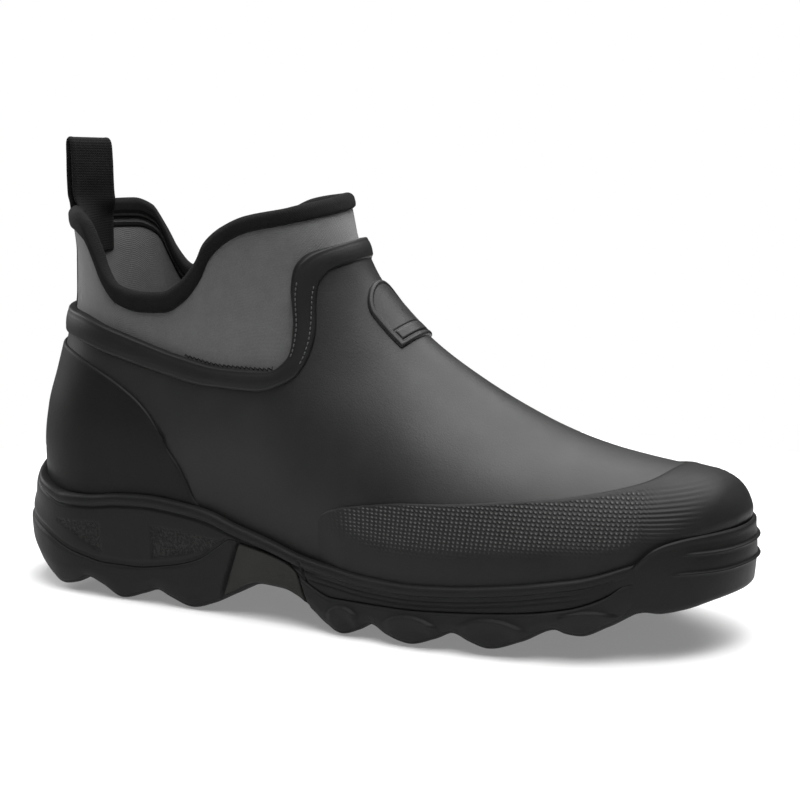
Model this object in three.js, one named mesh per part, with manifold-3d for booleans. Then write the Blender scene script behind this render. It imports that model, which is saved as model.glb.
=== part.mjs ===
// A right rubber ankle boot: a soft inner boot with a bound collar, a rubber shell with a toe
// guard and a heel counter, a cupped midsole and a lugged outsole. Millimetres, +Z up, toe
// towards +X, so the outer (little toe) side is -Y.
import * as THREE from 'three';
import { mergeVertices } from 'three/addons/utils/BufferGeometryUtils.js';
import Module from 'manifold-3d';

const wasm = await Module();
wasm.setup();

// Main sizes
const SOLE_LENGTH = 295;      // heel to toe, over the outsole
const BALL_WIDTH = 96;        // rubber shell across the ball of the foot
const HEEL_WIDTH = 69;        // rubber shell across the heel seat
const SHAFT_WIDTH = 64;       // rubber shell's surface, carried up round the ankle
const COLLAR_HEIGHT = 156;    // floor to the collar's edge at the shin
const RIM_HEIGHT = 43;        // floor to the top of the sole's rim at the heel
const TOE_SWING = 9;          // how far the last's centre line swings in at the toe
const ANKLE_BLEND_LOW = 40;   // the foot's width starts to turn into the shaft's width here
const ANKLE_BLEND_HIGH = 115; // and has become it here

// Upper: walls and layers
const CLEARANCE = 0.3;        // between pieces that touch
const LINING_WALL = 3;        // foam inner boot
const SHELL_WALL = 1.7;       // rubber shell
const GUARD_WALL = 1.1;       // toe guard
const COUNTER_WALL = 0.9;     // heel counter
const BAND_PROUD = 1.7;       // band along the shell's top edge, above the shell's surface
const BINDING_WALL = 1.6;     // binding round the collar's edge
const BINDING_WIDTH = 6.5;      // how far the binding reaches down the collar

// Sole
const CUP_DEPTH = 7;          // depth of the midsole's cup below its rim
const SOLE_MARGIN = 3.9;      // sole beyond the rubber shell
const RIM_BAND = 5;           // plain band under the rim
const SIDE_STEP = 1;          // step in the side under that band
const ARCH_HEIGHT = 13.5;     // floor to the underside of the waist
const LUG_DEPTH = 6;
const TOE_SPRING = 25;        // floor to the underside of the sole at the toe
const HEEL_TUCK = 8;          // how far the tread sets back under the heel's end
const TOE_TUCK = 4;           // and under the toe's
const SPRING_START = 0.64;    // where the toe spring starts, along the sole
const TREAD_GROOVE = 9;       // width of the groove that parts the lugs down the middle
const BUMPER_PROUD = 1.3;     // toe bumper beyond the midsole's side
const BUMPER_WALL = 2.5;
const BUMPER_LEAN = 3.5;
const RIB_PROUD = 0.9;        // ribs on the bumper
const INSOLE_THICKNESS = 4.5;
const INLAY_DEPTH = 5;        // waist inlays
const INLAY_SUNK = 0.8;

// Pull loop and badge
const LOOP_WIDTH = 26.5;
const LOOP_WALL = 1.7;
const LOOP_RISE = 25.5;         // top of the loop above the collar's edge
const LOOP_OPEN = 0.6;        // gap between the loop's legs above the collar
const LOOP_INSIDE = 20;       // how far its inner leg reaches down
const BADGE_WIDTH = 24;
const BADGE_LENGTH = 28;
const BADGE_WALL = 1.3;
const BADGE_UP = 0.742;       // height of its middle, as a share of the collar's height

// How finely the surfaces are cut
const RIBS = 18;              // up each side of the upper
const SOLE_STATIONS = 40;     // along each side of the sole
const GUARD_STEPS = 7;        // from the rim up to the band
const TOE_CROWD = 0.8;        // how much closer those steps lie low down at the toe
const TREAD_STEPS = 92;      // along the tread
const FLOOR_STEPS = 28;       // along the cup's floor and the rim
const OUTER = -1;
const INNER = 1;

// Half widths between the heel's (0) and the ball's (1), at shares of the sole's length.
const PLAN = [
  { along: 0.00, outer: 0.00, inner: 0.00, swing: 0.00 },
  { along: 0.12, outer: 0.02, inner: 0.00, swing: 0.00 },
  { along: 0.27, outer: 0.12, inner: -0.10, swing: 0.00 },
  { along: 0.41, outer: 0.32, inner: -0.08, swing: 0.02 },
  { along: 0.54, outer: 0.72, inner: 0.27, swing: 0.10 },
  { along: 0.66, outer: 1.03, inner: 0.77, swing: 0.33 },
  { along: 0.76, outer: 1.03, inner: 1.00, swing: 0.58 },
  { along: 0.86, outer: 0.82, inner: 0.84, swing: 0.86 },
  { along: 0.95, outer: 0.60, inner: 0.62, swing: 1.00 },
  { along: 1.02, outer: 0.52, inner: 0.55, swing: 1.00 },
];
// Front outline from the toe to the shin and on past the collar. Shares of the collar's
// height and of the sole's length.
const FRONT = [
  { up: 0.128, along: 0.973 }, { up: 0.205, along: 0.980 }, { up: 0.269, along: 0.982 },
  { up: 0.321, along: 0.979 }, { up: 0.365, along: 0.965 }, { up: 0.397, along: 0.938 },
  { up: 0.417, along: 0.898 }, { up: 0.430, along: 0.851 }, { up: 0.449, along: 0.800 },
  { up: 0.481, along: 0.746 }, { up: 0.526, along: 0.693 }, { up: 0.590, along: 0.631 },
  { up: 0.667, along: 0.570 }, { up: 0.744, along: 0.523 }, { up: 0.833, along: 0.482 },
  { up: 0.923, along: 0.456 }, { up: 1.000, along: 0.441 }, { up: 1.280, along: 0.412 },
  { up: 1.920, along: 0.332 }, { up: 2.560, along: 0.288 },
];
const TOE_TIP = 0.269;        // the row of FRONT that reaches furthest
// Back outline, up the heel.
const BACK = [
  { up: 0.128, along: 0.025 }, { up: 0.256, along: 0.017 }, { up: 0.353, along: 0.015 },
  { up: 0.449, along: 0.021 }, { up: 0.545, along: 0.033 }, { up: 0.641, along: 0.045 },
  { up: 0.737, along: 0.052 }, { up: 0.833, along: 0.054 }, { up: 0.936, along: 0.050 },
  { up: 1.050, along: 0.048 },
];
// Half width of the shaft up the leg, in shares of its own.
const SHAFT = [
  { up: 0.12, wide: 1.12 }, { up: 0.38, wide: 1.12 }, { up: 0.51, wide: 1.05 },
  { up: 0.64, wide: 1.00 }, { up: 0.77, wide: 0.985 }, { up: 0.96, wide: 1.00 },
  { up: 1.10, wide: 1.00 },
];
// Height of the sole's rim and of the joint between midsole and outsole, in rim heights.
const RIM = [
  { along: 0.00, rim: 1.07 }, { along: 0.03, rim: 1.04 }, { along: 0.06, rim: 1.00 },
  { along: 0.09, rim: 0.945 }, { along: 0.13, rim: 0.94 }, { along: 0.18, rim: 0.98 },
  { along: 0.23, rim: 1.00 }, { along: 0.28, rim: 0.98 }, { along: 0.32, rim: 0.945 },
  { along: 0.36, rim: 0.87 }, { along: 0.41, rim: 0.785 }, { along: 0.46, rim: 0.69 },
  { along: 0.51, rim: 0.625 }, { along: 0.56, rim: 0.585 }, { along: 0.61, rim: 0.575 },
  { along: 0.68, rim: 0.60 }, { along: 0.74, rim: 0.65 }, { along: 0.80, rim: 0.725 },
  { along: 0.85, rim: 0.80 }, { along: 0.93, rim: 0.94 }, { along: 1.00, rim: 1.08 },
];
const JOINT = [
  { along: 0.00, joint: 0.76 }, { along: 0.06, joint: 0.67 }, { along: 0.09, joint: 0.47 },
  { along: 0.12, joint: 0.37 }, { along: 0.16, joint: 0.32 }, { along: 0.20, joint: 0.32 },
  { along: 0.26, joint: 0.38 }, { along: 0.305, joint: 0.47 }, { along: 0.335, joint: 0.60 },
  { along: 0.355, joint: 0.66 }, { along: 0.38, joint: 0.635 }, { along: 0.44, joint: 0.53 },
  { along: 0.475, joint: 0.39 }, { along: 0.51, joint: 0.32 }, { along: 0.61, joint: 0.325 },
  { along: 0.68, joint: 0.35 }, { along: 0.75, joint: 0.39 }, { along: 0.83, joint: 0.47 },
  { along: 0.90, joint: 0.58 }, { along: 1.00, joint: 0.76 },
];
// Lines round the upper, by share from heel (0) to toe (1) along each ring. Heights in
// shares of the collar's.
const TOPLINE = [
  { round: 0.000, up: 0.946 }, { round: 0.085, up: 0.945 }, { round: 0.140, up: 0.926 },
  { round: 0.172, up: 0.872 }, { round: 0.196, up: 0.824 }, { round: 0.236, up: 0.781 },
  { round: 0.305, up: 0.766 }, { round: 0.380, up: 0.769 }, { round: 0.449, up: 0.794 },
  { round: 0.542, up: 0.853 }, { round: 0.600, up: 0.902 }, { round: 0.685, up: 0.945 },
  { round: 0.770, up: 0.972 }, { round: 0.930, up: 0.998 }, { round: 1.000, up: 1.009 },
];
const BAND_TOP = [
  { round: 0.000, up: 0.702 }, { round: 0.100, up: 0.699 }, { round: 0.210, up: 0.673 },
  { round: 0.300, up: 0.647 }, { round: 0.390, up: 0.622 }, { round: 0.500, up: 0.603 },
  { round: 0.600, up: 0.604 }, { round: 0.675, up: 0.634 }, { round: 0.760, up: 0.715 },
  { round: 0.830, up: 0.808 }, { round: 0.880, up: 0.858 }, { round: 0.936, up: 0.889 },
  { round: 1.000, up: 0.905 },
];
const BAND_LOW = [
  { round: 0.000, up: 0.638 }, { round: 0.100, up: 0.632 }, { round: 0.210, up: 0.606 },
  { round: 0.320, up: 0.578 }, { round: 0.430, up: 0.555 }, { round: 0.540, up: 0.554 },
  { round: 0.640, up: 0.582 }, { round: 0.720, up: 0.630 }, { round: 0.800, up: 0.698 },
  { round: 0.870, up: 0.780 }, { round: 0.900, up: 0.812 }, { round: 0.950, up: 0.845 },
  { round: 1.000, up: 0.858 },
];
// Side outlines of the overlays: along in sole lengths, up in collar heights.
const GUARD_EDGE = [
  { along: 0.470, up: 0.17 }, { along: 0.478, up: 0.245 }, { along: 0.505, up: 0.295 },
  { along: 0.549, up: 0.322 }, { along: 0.603, up: 0.340 }, { along: 0.668, up: 0.354 },
  { along: 0.729, up: 0.367 }, { along: 0.797, up: 0.388 }, { along: 0.834, up: 0.405 },
  { along: 0.855, up: 0.422 }, { along: 0.866, up: 0.450 },
];
const COUNTER_EDGE = [
  { along: 0.310, up: 0.20 }, { along: 0.288, up: 0.315 }, { along: 0.278, up: 0.353 },
  { along: 0.261, up: 0.391 }, { along: 0.244, up: 0.436 }, { along: 0.224, up: 0.478 },
  { along: 0.193, up: 0.519 }, { along: 0.132, up: 0.577 }, { along: 0.088, up: 0.603 },
  { along: 0.000, up: 0.622 },
];
// Underside from heel to toe: lugs (0) and gaps (1) in lug depths, the waist in arch heights.
const TREAD = [
  { along: 0.000, gap: 1.80, arch: 0 }, { along: 0.050, gap: 0.95, arch: 0 },
  { along: 0.085, gap: 0.60, arch: 0 }, { along: 0.105, gap: 0.50, arch: 0 },
  { along: 0.142, gap: 1.25, arch: 0 }, { along: 0.172, gap: 0.00, arch: 0 },
  { along: 0.212, gap: 0.00, arch: 0 }, { along: 0.246, gap: 1.10, arch: 0 },
  { along: 0.275, gap: 0.00, arch: 0 }, { along: 0.325, gap: 0.00, arch: 0 },
  { along: 0.407, gap: 0.00, arch: 1 }, { along: 0.505, gap: 0.00, arch: 0 },
  { along: 0.540, gap: 0.00, arch: 0 }, { along: 0.572, gap: 1.20, arch: 0 },
  { along: 0.600, gap: 0.00, arch: 0 }, { along: 0.638, gap: 0.00, arch: 0 },
  { along: 0.683, gap: 1.20, arch: 0 }, { along: 0.708, gap: 0.10, arch: 0 },
  { along: 0.735, gap: 0.00, arch: 0 }, { along: 0.812, gap: 1.00, arch: 0 },
  { along: 0.832, gap: 0.10, arch: 0 }, { along: 0.855, gap: 0.00, arch: 0 },
  { along: 0.912, gap: 0.70, arch: 0 }, { along: 0.930, gap: 0.05, arch: 0 },
  { along: 1.000, gap: 0.00, arch: 0 },
];
// Side of the outsole from its top (0) to the tread (1): how far it stands out, in side
// steps, and how much of the tuck at heel and toe it has.
const OUTSOLE_SIDE = [
  { down: 0.00, out: -0.6, tuck: 0.00 }, { down: 0.12, out: 0.2, tuck: -0.18 },
  { down: 0.50, out: 0.3, tuck: -0.18 }, { down: 0.82, out: -0.6, tuck: 0.25 },
  { down: 1.00, out: -2.2, tuck: 0.90 },
];
// Side of the midsole from the joint (0) to the band (1), in side steps.
const MIDSOLE_SIDE = [
  { up: 0.00, out: -0.9 }, { up: 0.20, out: -0.2 }, { up: 1.00, out: -1.0 },
];
// Top edge of the toe bumper in rim heights, and the bumper's face from top (1) to foot (0):
// its ribs, and how much it leans back at the tip of the toe.
const BUMPER_TOP = [
  { along: 0.868, up: 0.64 }, { along: 0.884, up: 0.79 }, { along: 0.900, up: 0.92 },
  { along: 0.920, up: 1.00 }, { along: 0.955, up: 1.07 }, { along: 1.000, up: 1.15 },
];
const BUMPER_FACE = [
  { up: 1.00, rib: -0.8, lean: 1.00 }, { up: 0.93, rib: 0, lean: 0.85 }, { up: 0.79, rib: 0, lean: 0.60 },
  { up: 0.76, rib: 1, lean: 0.55 }, { up: 0.70, rib: 1, lean: 0.45 }, { up: 0.67, rib: 0, lean: 0.40 },
  { up: 0.47, rib: 0, lean: 0.15 }, { up: 0.44, rib: 1, lean: 0.10 }, { up: 0.38, rib: 1, lean: 0.05 },
  { up: 0.35, rib: 0, lean: 0.00 }, { up: 0.00, rib: 0, lean: 0.10 },
];
// Pull loop's legs from its top down to the collar's faces: height in loop rises above the
// collar's edge, and how far the legs have parted, from closed (0) to flat on the faces (1).
const LOOP_LEGS = [
  { rise: 0.93, parted: 0.00 }, { rise: 0.70, parted: 0.00 }, { rise: 0.40, parted: 0.02 },
  { rise: 0.17, parted: 0.35 }, { rise: 0.00, parted: 1.00 }, { rise: -0.40, parted: 1.00 },
];
// Side outline of the waist inlays: along in sole lengths, up in rim heights.
const INLAY = [
  { along: 0.352, up: 0.285 }, { along: 0.366, up: 0.600 }, { along: 0.440, up: 0.490 },
  { along: 0.463, up: 0.370 }, { along: 0.470, up: 0.240 }, { along: 0.440, up: 0.330 },
  { along: 0.407, up: 0.360 }, { along: 0.375, up: 0.330 },
];

const CURVE_SAMPLES = 40;
const HIGH = COLLAR_HEIGHT * 2;
const TINY = 1e-4;
const OUTSIDE_CUP = 1.05;
const INSIDE_CUP = 1.7;
const smooth = (t) => THREE.MathUtils.smoothstep(t, 0, 1);

// A smooth curve through a table's rows that never overshoots between two of them.
function through(rows, from, to) {
  const xs = rows.map((row) => row[from]);
  const ys = rows.map((row) => row[to]);
  const chords = xs.slice(1).map((x, i) => (ys[i + 1] - ys[i]) / (x - xs[i]));
  const slopes = ys.map((y, i) => {
    const before = chords[Math.max(i - 1, 0)];
    const after = chords[Math.min(i, chords.length - 1)];
    return before * after > 0 ? (2 * before * after) / (before + after) : 0;
  });
  return (x) => {
    let i = 0;
    while (i < xs.length - 2 && x > xs[i + 1]) i += 1;
    const width = xs[i + 1] - xs[i];
    const t = THREE.MathUtils.clamp((x - xs[i]) / width, 0, 1);
    const rest = 1 - t;
    return ys[i] * rest * rest * (1 + 2 * t) + slopes[i] * width * t * rest * rest
      + ys[i + 1] * t * t * (3 - 2 * t) - slopes[i + 1] * width * t * t * rest;
  };
}

const outerShare = through(PLAN, 'along', 'outer');
const innerShare = through(PLAN, 'along', 'inner');
const swingShare = through(PLAN, 'along', 'swing');
const frontShare = through(FRONT, 'up', 'along');
const backShare = through(BACK, 'up', 'along');
const gapShare = through(TREAD, 'along', 'gap');
const archShare = through(TREAD, 'along', 'arch');
const shaftShare = through(SHAFT, 'up', 'wide');
const rimShare = through(RIM, 'along', 'rim');
const jointShare = through(JOINT, 'along', 'joint');
const bumperShare = through(BUMPER_TOP, 'along', 'up');

const centreAt = (x) => TOE_SWING * swingShare(x / SOLE_LENGTH);
const frontAt = (z) => SOLE_LENGTH * frontShare(z / COLLAR_HEIGHT);
const backAt = (z) => SOLE_LENGTH * backShare(z / COLLAR_HEIGHT);
const rimAt = (x) => RIM_HEIGHT * rimShare(x / SOLE_LENGTH);
const jointAt = (x) => RIM_HEIGHT * jointShare(x / SOLE_LENGTH);
const floorAt = (x) => rimAt(x) - CUP_DEPTH;

// Half width of the foot's plan at x, before its ends are rounded off.
function plainHalf(x, side) {
  const share = side === OUTER ? outerShare(x / SOLE_LENGTH) : innerShare(x / SOLE_LENGTH);
  return HEEL_WIDTH / 2 + (BALL_WIDTH - HEEL_WIDTH) / 2 * share;
}

// Rounds an end off: 0 at the end, 1 from the given length on.
function roundOff(distance, length, power) {
  const t = THREE.MathUtils.clamp(1 - distance / length, 0, 1);
  return Math.sqrt(Math.max(1 - t ** power, 0));
}

const HEEL_ROUND = HEEL_WIDTH * 0.5;
const TOE_ROUND = BALL_WIDTH * 0.62;
const END_POWER = 2.15;
const DOME_POWER = 2.4;
const TOE_BLEND_START = 0.8;
const TOE_BLEND_LENGTH = 0.18;

// Height of the front outline above x, found by halving.
function ridgeAt(x) {
  let low = TOE_TIP * COLLAR_HEIGHT;
  let high = FRONT[FRONT.length - 1].up * COLLAR_HEIGHT;
  for (let step = 0; step < 26; step += 1) {
    const middle = (low + high) / 2;
    if (frontAt(middle) > x) low = middle;
    else high = middle;
  }
  return low;
}

// Half width of the upper at a place in its side view. Below the level where the dome of the
// foot starts, the wall stands upright. That level rises to the toe's tip at the front.
function upperHalf(x, z, side) {
  const toShaft = smooth((z - ANKLE_BLEND_LOW) / (ANKLE_BLEND_HIGH - ANKLE_BLEND_LOW));
  const tip = TOE_TIP * COLLAR_HEIGHT;
  const toeEnd = frontAt(Math.min(z, tip));
  const foot = plainHalf(x, side) * roundOff(toeEnd - x, TOE_ROUND, END_POWER);
  const leg = SHAFT_WIDTH / 2 * shaftShare(z / COLLAR_HEIGHT);
  const base = foot + (leg - foot) * toShaft;
  const toTip = smooth((x / SOLE_LENGTH - TOE_BLEND_START) / TOE_BLEND_LENGTH);
  const level = floorAt(x) + (tip - floorAt(x)) * toTip;
  const rise = THREE.MathUtils.clamp((z - level) / (ridgeAt(x) - level), 0, 1);
  const dome = Math.sqrt(Math.max(1 - rise ** DOME_POWER, 0));
  return base * dome * roundOff(x - backAt(z), HEEL_ROUND, END_POWER);
}

// The upper's own surface. The turn goes from the heel's back (0) along the outer side to the
// toe (half a turn) and back along the inner side.
function surface(turn, z) {
  const round = (1 - Math.cos(turn)) / 2;
  const side = Math.sin(turn) >= 0 ? OUTER : INNER;
  const x = backAt(z) + (frontAt(z) - backAt(z)) * round;
  return new THREE.Vector3(x, centreAt(x) + side * upperHalf(x, z, side), z);
}

// The same point moved out from the surface by a distance.
function offSurface(turn, z, out) {
  const step = 0.02;
  const across = surface(turn + step, z).sub(surface(turn - step, z));
  const up = surface(turn, z + step).sub(surface(turn, z - step));
  const normal = across.cross(up).normalize();
  return surface(turn, z).addScaledVector(normal, out);
}

// Height at which a rib of the upper meets a height that is given along the sole.
function meet(turn, heightAt) {
  let z = heightAt(SOLE_LENGTH / 2);
  for (let step = 0; step < 30; step += 1) z = (z + heightAt(surface(turn, z).x)) / 2;
  return z;
}

// Heights along a rib between two heights, at even distances or crowded towards the low one.
function heightsBetween(turn, low, high, steps, crowd) {
  const fine = Array.from({ length: CURVE_SAMPLES + 1 }, (_, i) => low + (high - low) * i / CURVE_SAMPLES);
  const points = fine.map((z) => surface(turn, z));
  const run = [0];
  for (let i = 1; i <= CURVE_SAMPLES; i += 1) run.push(run[i - 1] + points[i].distanceTo(points[i - 1]));
  return Array.from({ length: steps }, (_, k) => {
    const wanted = run[CURVE_SAMPLES] * ((k + 1) / steps) ** (1 + crowd);
    let i = 1;
    while (i < CURVE_SAMPLES && run[i] < wanted) i += 1;
    const part = (wanted - run[i - 1]) / (run[i] - run[i - 1]);
    return fine[i - 1] + (fine[i] - fine[i - 1]) * part;
  });
}

// The ribs and the heights where each crosses the rows that all layers share.
const TURNS = Array.from({ length: 2 * RIBS }, (_, i) => Math.PI * i / RIBS);
const toplineShare = through(TOPLINE, 'round', 'up');
const bandTopShare = through(BAND_TOP, 'round', 'up');
const bandLowShare = through(BAND_LOW, 'round', 'up');
const ribRows = TURNS.map((turn) => {
  const round = (1 - Math.cos(turn)) / 2;
  const floor = meet(turn, floorAt);
  const rim = meet(turn, rimAt);
  const bandLow = COLLAR_HEIGHT * bandLowShare(round);
  const bandTop = COLLAR_HEIGHT * bandTopShare(round);
  const edge = COLLAR_HEIGHT * toplineShare(round) - BINDING_WALL;
  const bindingLow = edge - BINDING_WIDTH;
  return [
    floor, rim, ...heightsBetween(turn, rim, bandLow, GUARD_STEPS, TOE_CROWD * round ** 4),
    (bandLow + bandTop) / 2, bandTop, (bandTop + bindingLow) / 2, bindingLow, edge,
  ];
});
const FLOOR_ROW = 0;
const RIM_ROW = 1;
const BAND_LOW_ROW = RIM_ROW + GUARD_STEPS;
const BAND_TOP_ROW = BAND_LOW_ROW + 2;
const BINDING_ROW = BAND_TOP_ROW + 2;
const EDGE_ROW = BINDING_ROW + 1;

// One closed ring of points round the upper, on a shared row. Rows in the sole's cup keep
// their height, because the cup's floor does.
function ring(row, out, lift = 0) {
  return TURNS.map((turn, i) => {
    const height = ribRows[i][row] + lift;
    const point = offSurface(turn, height, out);
    return row <= RIM_ROW ? point.setZ(height) : point;
  });
}

// A closed body from rings of equal length. Either the last ring joins the first, or each
// end is closed by strips that bridge the two sides. From the row named down on, the rings
// run downwards, and their faces are split along the other diagonal, so that two layers that
// lie on each other are split alike.
function loft(rings, joined, down = Infinity) {
  const count = rings[0].length;
  const faces = [];
  const quad = (a, b, c, d) => faces.push(a, b, c, a, c, d);
  const rows = joined ? rings.length : rings.length - 1;
  for (let row = 0; row < rows; row += 1) {
    const low = row * count;
    const high = ((row + 1) % rings.length) * count;
    for (let i = 0; i < count; i += 1) {
      const j = (i + 1) % count;
      if (row < down) quad(low + i, low + j, high + j, high + i);
      else quad(low + j, high + j, high + i, low + i);
    }
  }
  if (!joined) {
    const top = (rings.length - 1) * count;
    for (let i = 0; i < count / 2; i += 1) {
      const a = i;
      const b = i + 1;
      const c = (count - i - 1) % count;
      const d = (count - i) % count;
      quad(a, d, c, b);
      quad(top + a, top + b, top + c, top + d);
    }
  }
  return solidOf(rings.flat(), faces);
}

// A solid from points and faces. Faces without area, as at a strip's tip, are left out.
function solidOf(points, faces) {
  const geometry = new THREE.BufferGeometry().setFromPoints(points);
  geometry.setIndex(faces);
  const merged = mergeVertices(geometry, TINY);
  const kept = [];
  const index = merged.index.array;
  for (let i = 0; i < index.length; i += 3) {
    const [a, b, c] = [index[i], index[i + 1], index[i + 2]];
    if (a !== b && b !== c && c !== a) kept.push(a, b, c);
  }
  return new wasm.Manifold(new wasm.Mesh({
    numProp: 3,
    vertProperties: new Float32Array(merged.attributes.position.array),
    triVerts: new Uint32Array(kept),
  }));
}

// A closed body between two surfaces of the upper, from one shared row to another.
function layer(inside, outside, first, last, liftFirst, liftLast) {
  const outerRings = [];
  const innerRings = [];
  for (let row = first; row <= last; row += 1) {
    const lift = (row === first ? liftFirst : 0) + (row === last ? liftLast : 0);
    outerRings.push(ring(row, outside, lift));
    innerRings.push(ring(row, inside, lift));
  }
  return loft([...outerRings, ...innerRings.reverse()], true, outerRings.length);
}

// Everything inside the upper's surface, moved out by a distance, up to a shared row.
function footForm(out, below, last, above) {
  const rings = [ring(FLOOR_ROW, out, -below)];
  for (let row = RIM_ROW; row <= last; row += 1) rings.push(ring(row, out));
  rings.push(ring(last, out, above));
  return loft(rings, false);
}

// Everything inside a side outline, right across the boot.
function sideBlock(points, halfWidth = BALL_WIDTH) {
  const shape = new THREE.Shape(points);
  const geometry = new THREE.ExtrudeGeometry(shape, { depth: 2 * halfWidth, bevelEnabled: false });
  geometry.rotateX(Math.PI / 2);
  geometry.translate(0, halfWidth, 0);
  return fromGeometry(geometry);
}

function fromGeometry(geometry) {
  const bare = geometry.index ? geometry.toNonIndexed() : geometry;
  const points = [];
  const position = bare.attributes.position;
  for (let i = 0; i < position.count; i += 1) points.push(new THREE.Vector3().fromBufferAttribute(position, i));
  return solidOf(points, points.map((_, i) => i));
}

const sidePoints = (rows, height) => rows.map(
  ({ along, up }) => new THREE.Vector2(along * SOLE_LENGTH, up * height),
);

// Upper pieces
const LINING_OUT = -SHELL_WALL - CLEARANCE;
const LINING_IN = LINING_OUT - LINING_WALL;

const aboveFloor = () => lineBlock((x) => floorAt(x) + CLEARANCE, HIGH, FLOOR_STEPS);

function makeUpper() {
  return layer(LINING_IN, LINING_OUT, FLOOR_ROW, EDGE_ROW, -CLEARANCE, 0).intersect(aboveFloor());
}

function makeShell() {
  return layer(-SHELL_WALL, 0, FLOOR_ROW, BAND_LOW_ROW, -CLEARANCE, -CLEARANCE).intersect(aboveFloor());
}

function makeBand() {
  return layer(-SHELL_WALL, BAND_PROUD, BAND_LOW_ROW, BAND_TOP_ROW, 0, 0);
}

// A skin on the shell from the sole's rim up to the band.
function overlay(wall) {
  return layer(CLEARANCE, CLEARANCE + wall, RIM_ROW, BAND_LOW_ROW, 0, 0)
    .intersect(lineBlock((x) => rimAt(x) + 2 * CLEARANCE, HIGH, FLOOR_STEPS));
}

function makeToeGuard() {
  const skin = overlay(GUARD_WALL);
  const edge = sidePoints(GUARD_EDGE, COLLAR_HEIGHT);
  const beyond = new THREE.Vector2(SOLE_LENGTH * 1.1, edge[edge.length - 1].y);
  const below = new THREE.Vector2(SOLE_LENGTH * 1.1, edge[0].y);
  return skin.intersect(sideBlock([...edge, beyond, below]));
}

function makeCounter() {
  const skin = overlay(COUNTER_WALL);
  const edge = sidePoints(COUNTER_EDGE, COLLAR_HEIGHT);
  const beyond = new THREE.Vector2(-SOLE_LENGTH * 0.1, edge[edge.length - 1].y);
  const below = new THREE.Vector2(-SOLE_LENGTH * 0.1, edge[0].y);
  return skin.intersect(sideBlock([...edge, beyond, below]));
}

// The binding is folded over the collar's edge and lies on both faces of the inner boot.
function makeBinding() {
  const outFoot = LINING_OUT + CLEARANCE;
  const inFoot = LINING_IN - CLEARANCE;
  const middle = (outFoot + inFoot) / 2;
  return loft([
    ring(BINDING_ROW, outFoot),
    ring(BINDING_ROW, outFoot + BINDING_WALL * 0.8),
    ring(EDGE_ROW, outFoot + BINDING_WALL, -BINDING_WIDTH * 0.3),
    ring(EDGE_ROW, outFoot + BINDING_WALL * 0.6, BINDING_WALL * 0.5),
    ring(EDGE_ROW, middle, BINDING_WALL),
    ring(EDGE_ROW, inFoot - BINDING_WALL * 0.6, BINDING_WALL * 0.5),
    ring(EDGE_ROW, inFoot - BINDING_WALL, -BINDING_WIDTH * 0.3),
    ring(BINDING_ROW, inFoot - BINDING_WALL * 0.8),
    ring(BINDING_ROW, inFoot),
    ring(EDGE_ROW, inFoot, CLEARANCE),
    ring(EDGE_ROW, outFoot, CLEARANCE),
  ], true, 9);
}

// A plain raised badge on the instep, square to the surface there.
function makeBadge() {
  const skin = layer(CLEARANCE, CLEARANCE + BADGE_WALL, RIM_ROW, BAND_LOW_ROW, 0, 0);
  const radius = BADGE_WIDTH / 2;
  const shape = new THREE.Shape();
  shape.moveTo(-radius, -BADGE_LENGTH / 2);
  shape.lineTo(radius, -BADGE_LENGTH / 2);
  shape.lineTo(radius, BADGE_LENGTH / 2 - radius);
  shape.absarc(0, BADGE_LENGTH / 2 - radius, radius, 0, Math.PI, false);
  const geometry = new THREE.ExtrudeGeometry(shape, {
    depth: BADGE_WIDTH, bevelEnabled: false, curveSegments: 8,
  });
  geometry.translate(0, 0, -radius);
  const height = BADGE_UP * COLLAR_HEIGHT;
  const middle = surface(Math.PI, height);
  const normal = offSurface(Math.PI, height, 1).sub(middle).setY(0).normalize();
  const across = new THREE.Vector3(0, 1, 0);
  const up = normal.clone().cross(across);
  geometry.applyMatrix4(new THREE.Matrix4().makeBasis(across, up, normal).setPosition(middle));
  return skin.intersect(fromGeometry(geometry));
}

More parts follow.
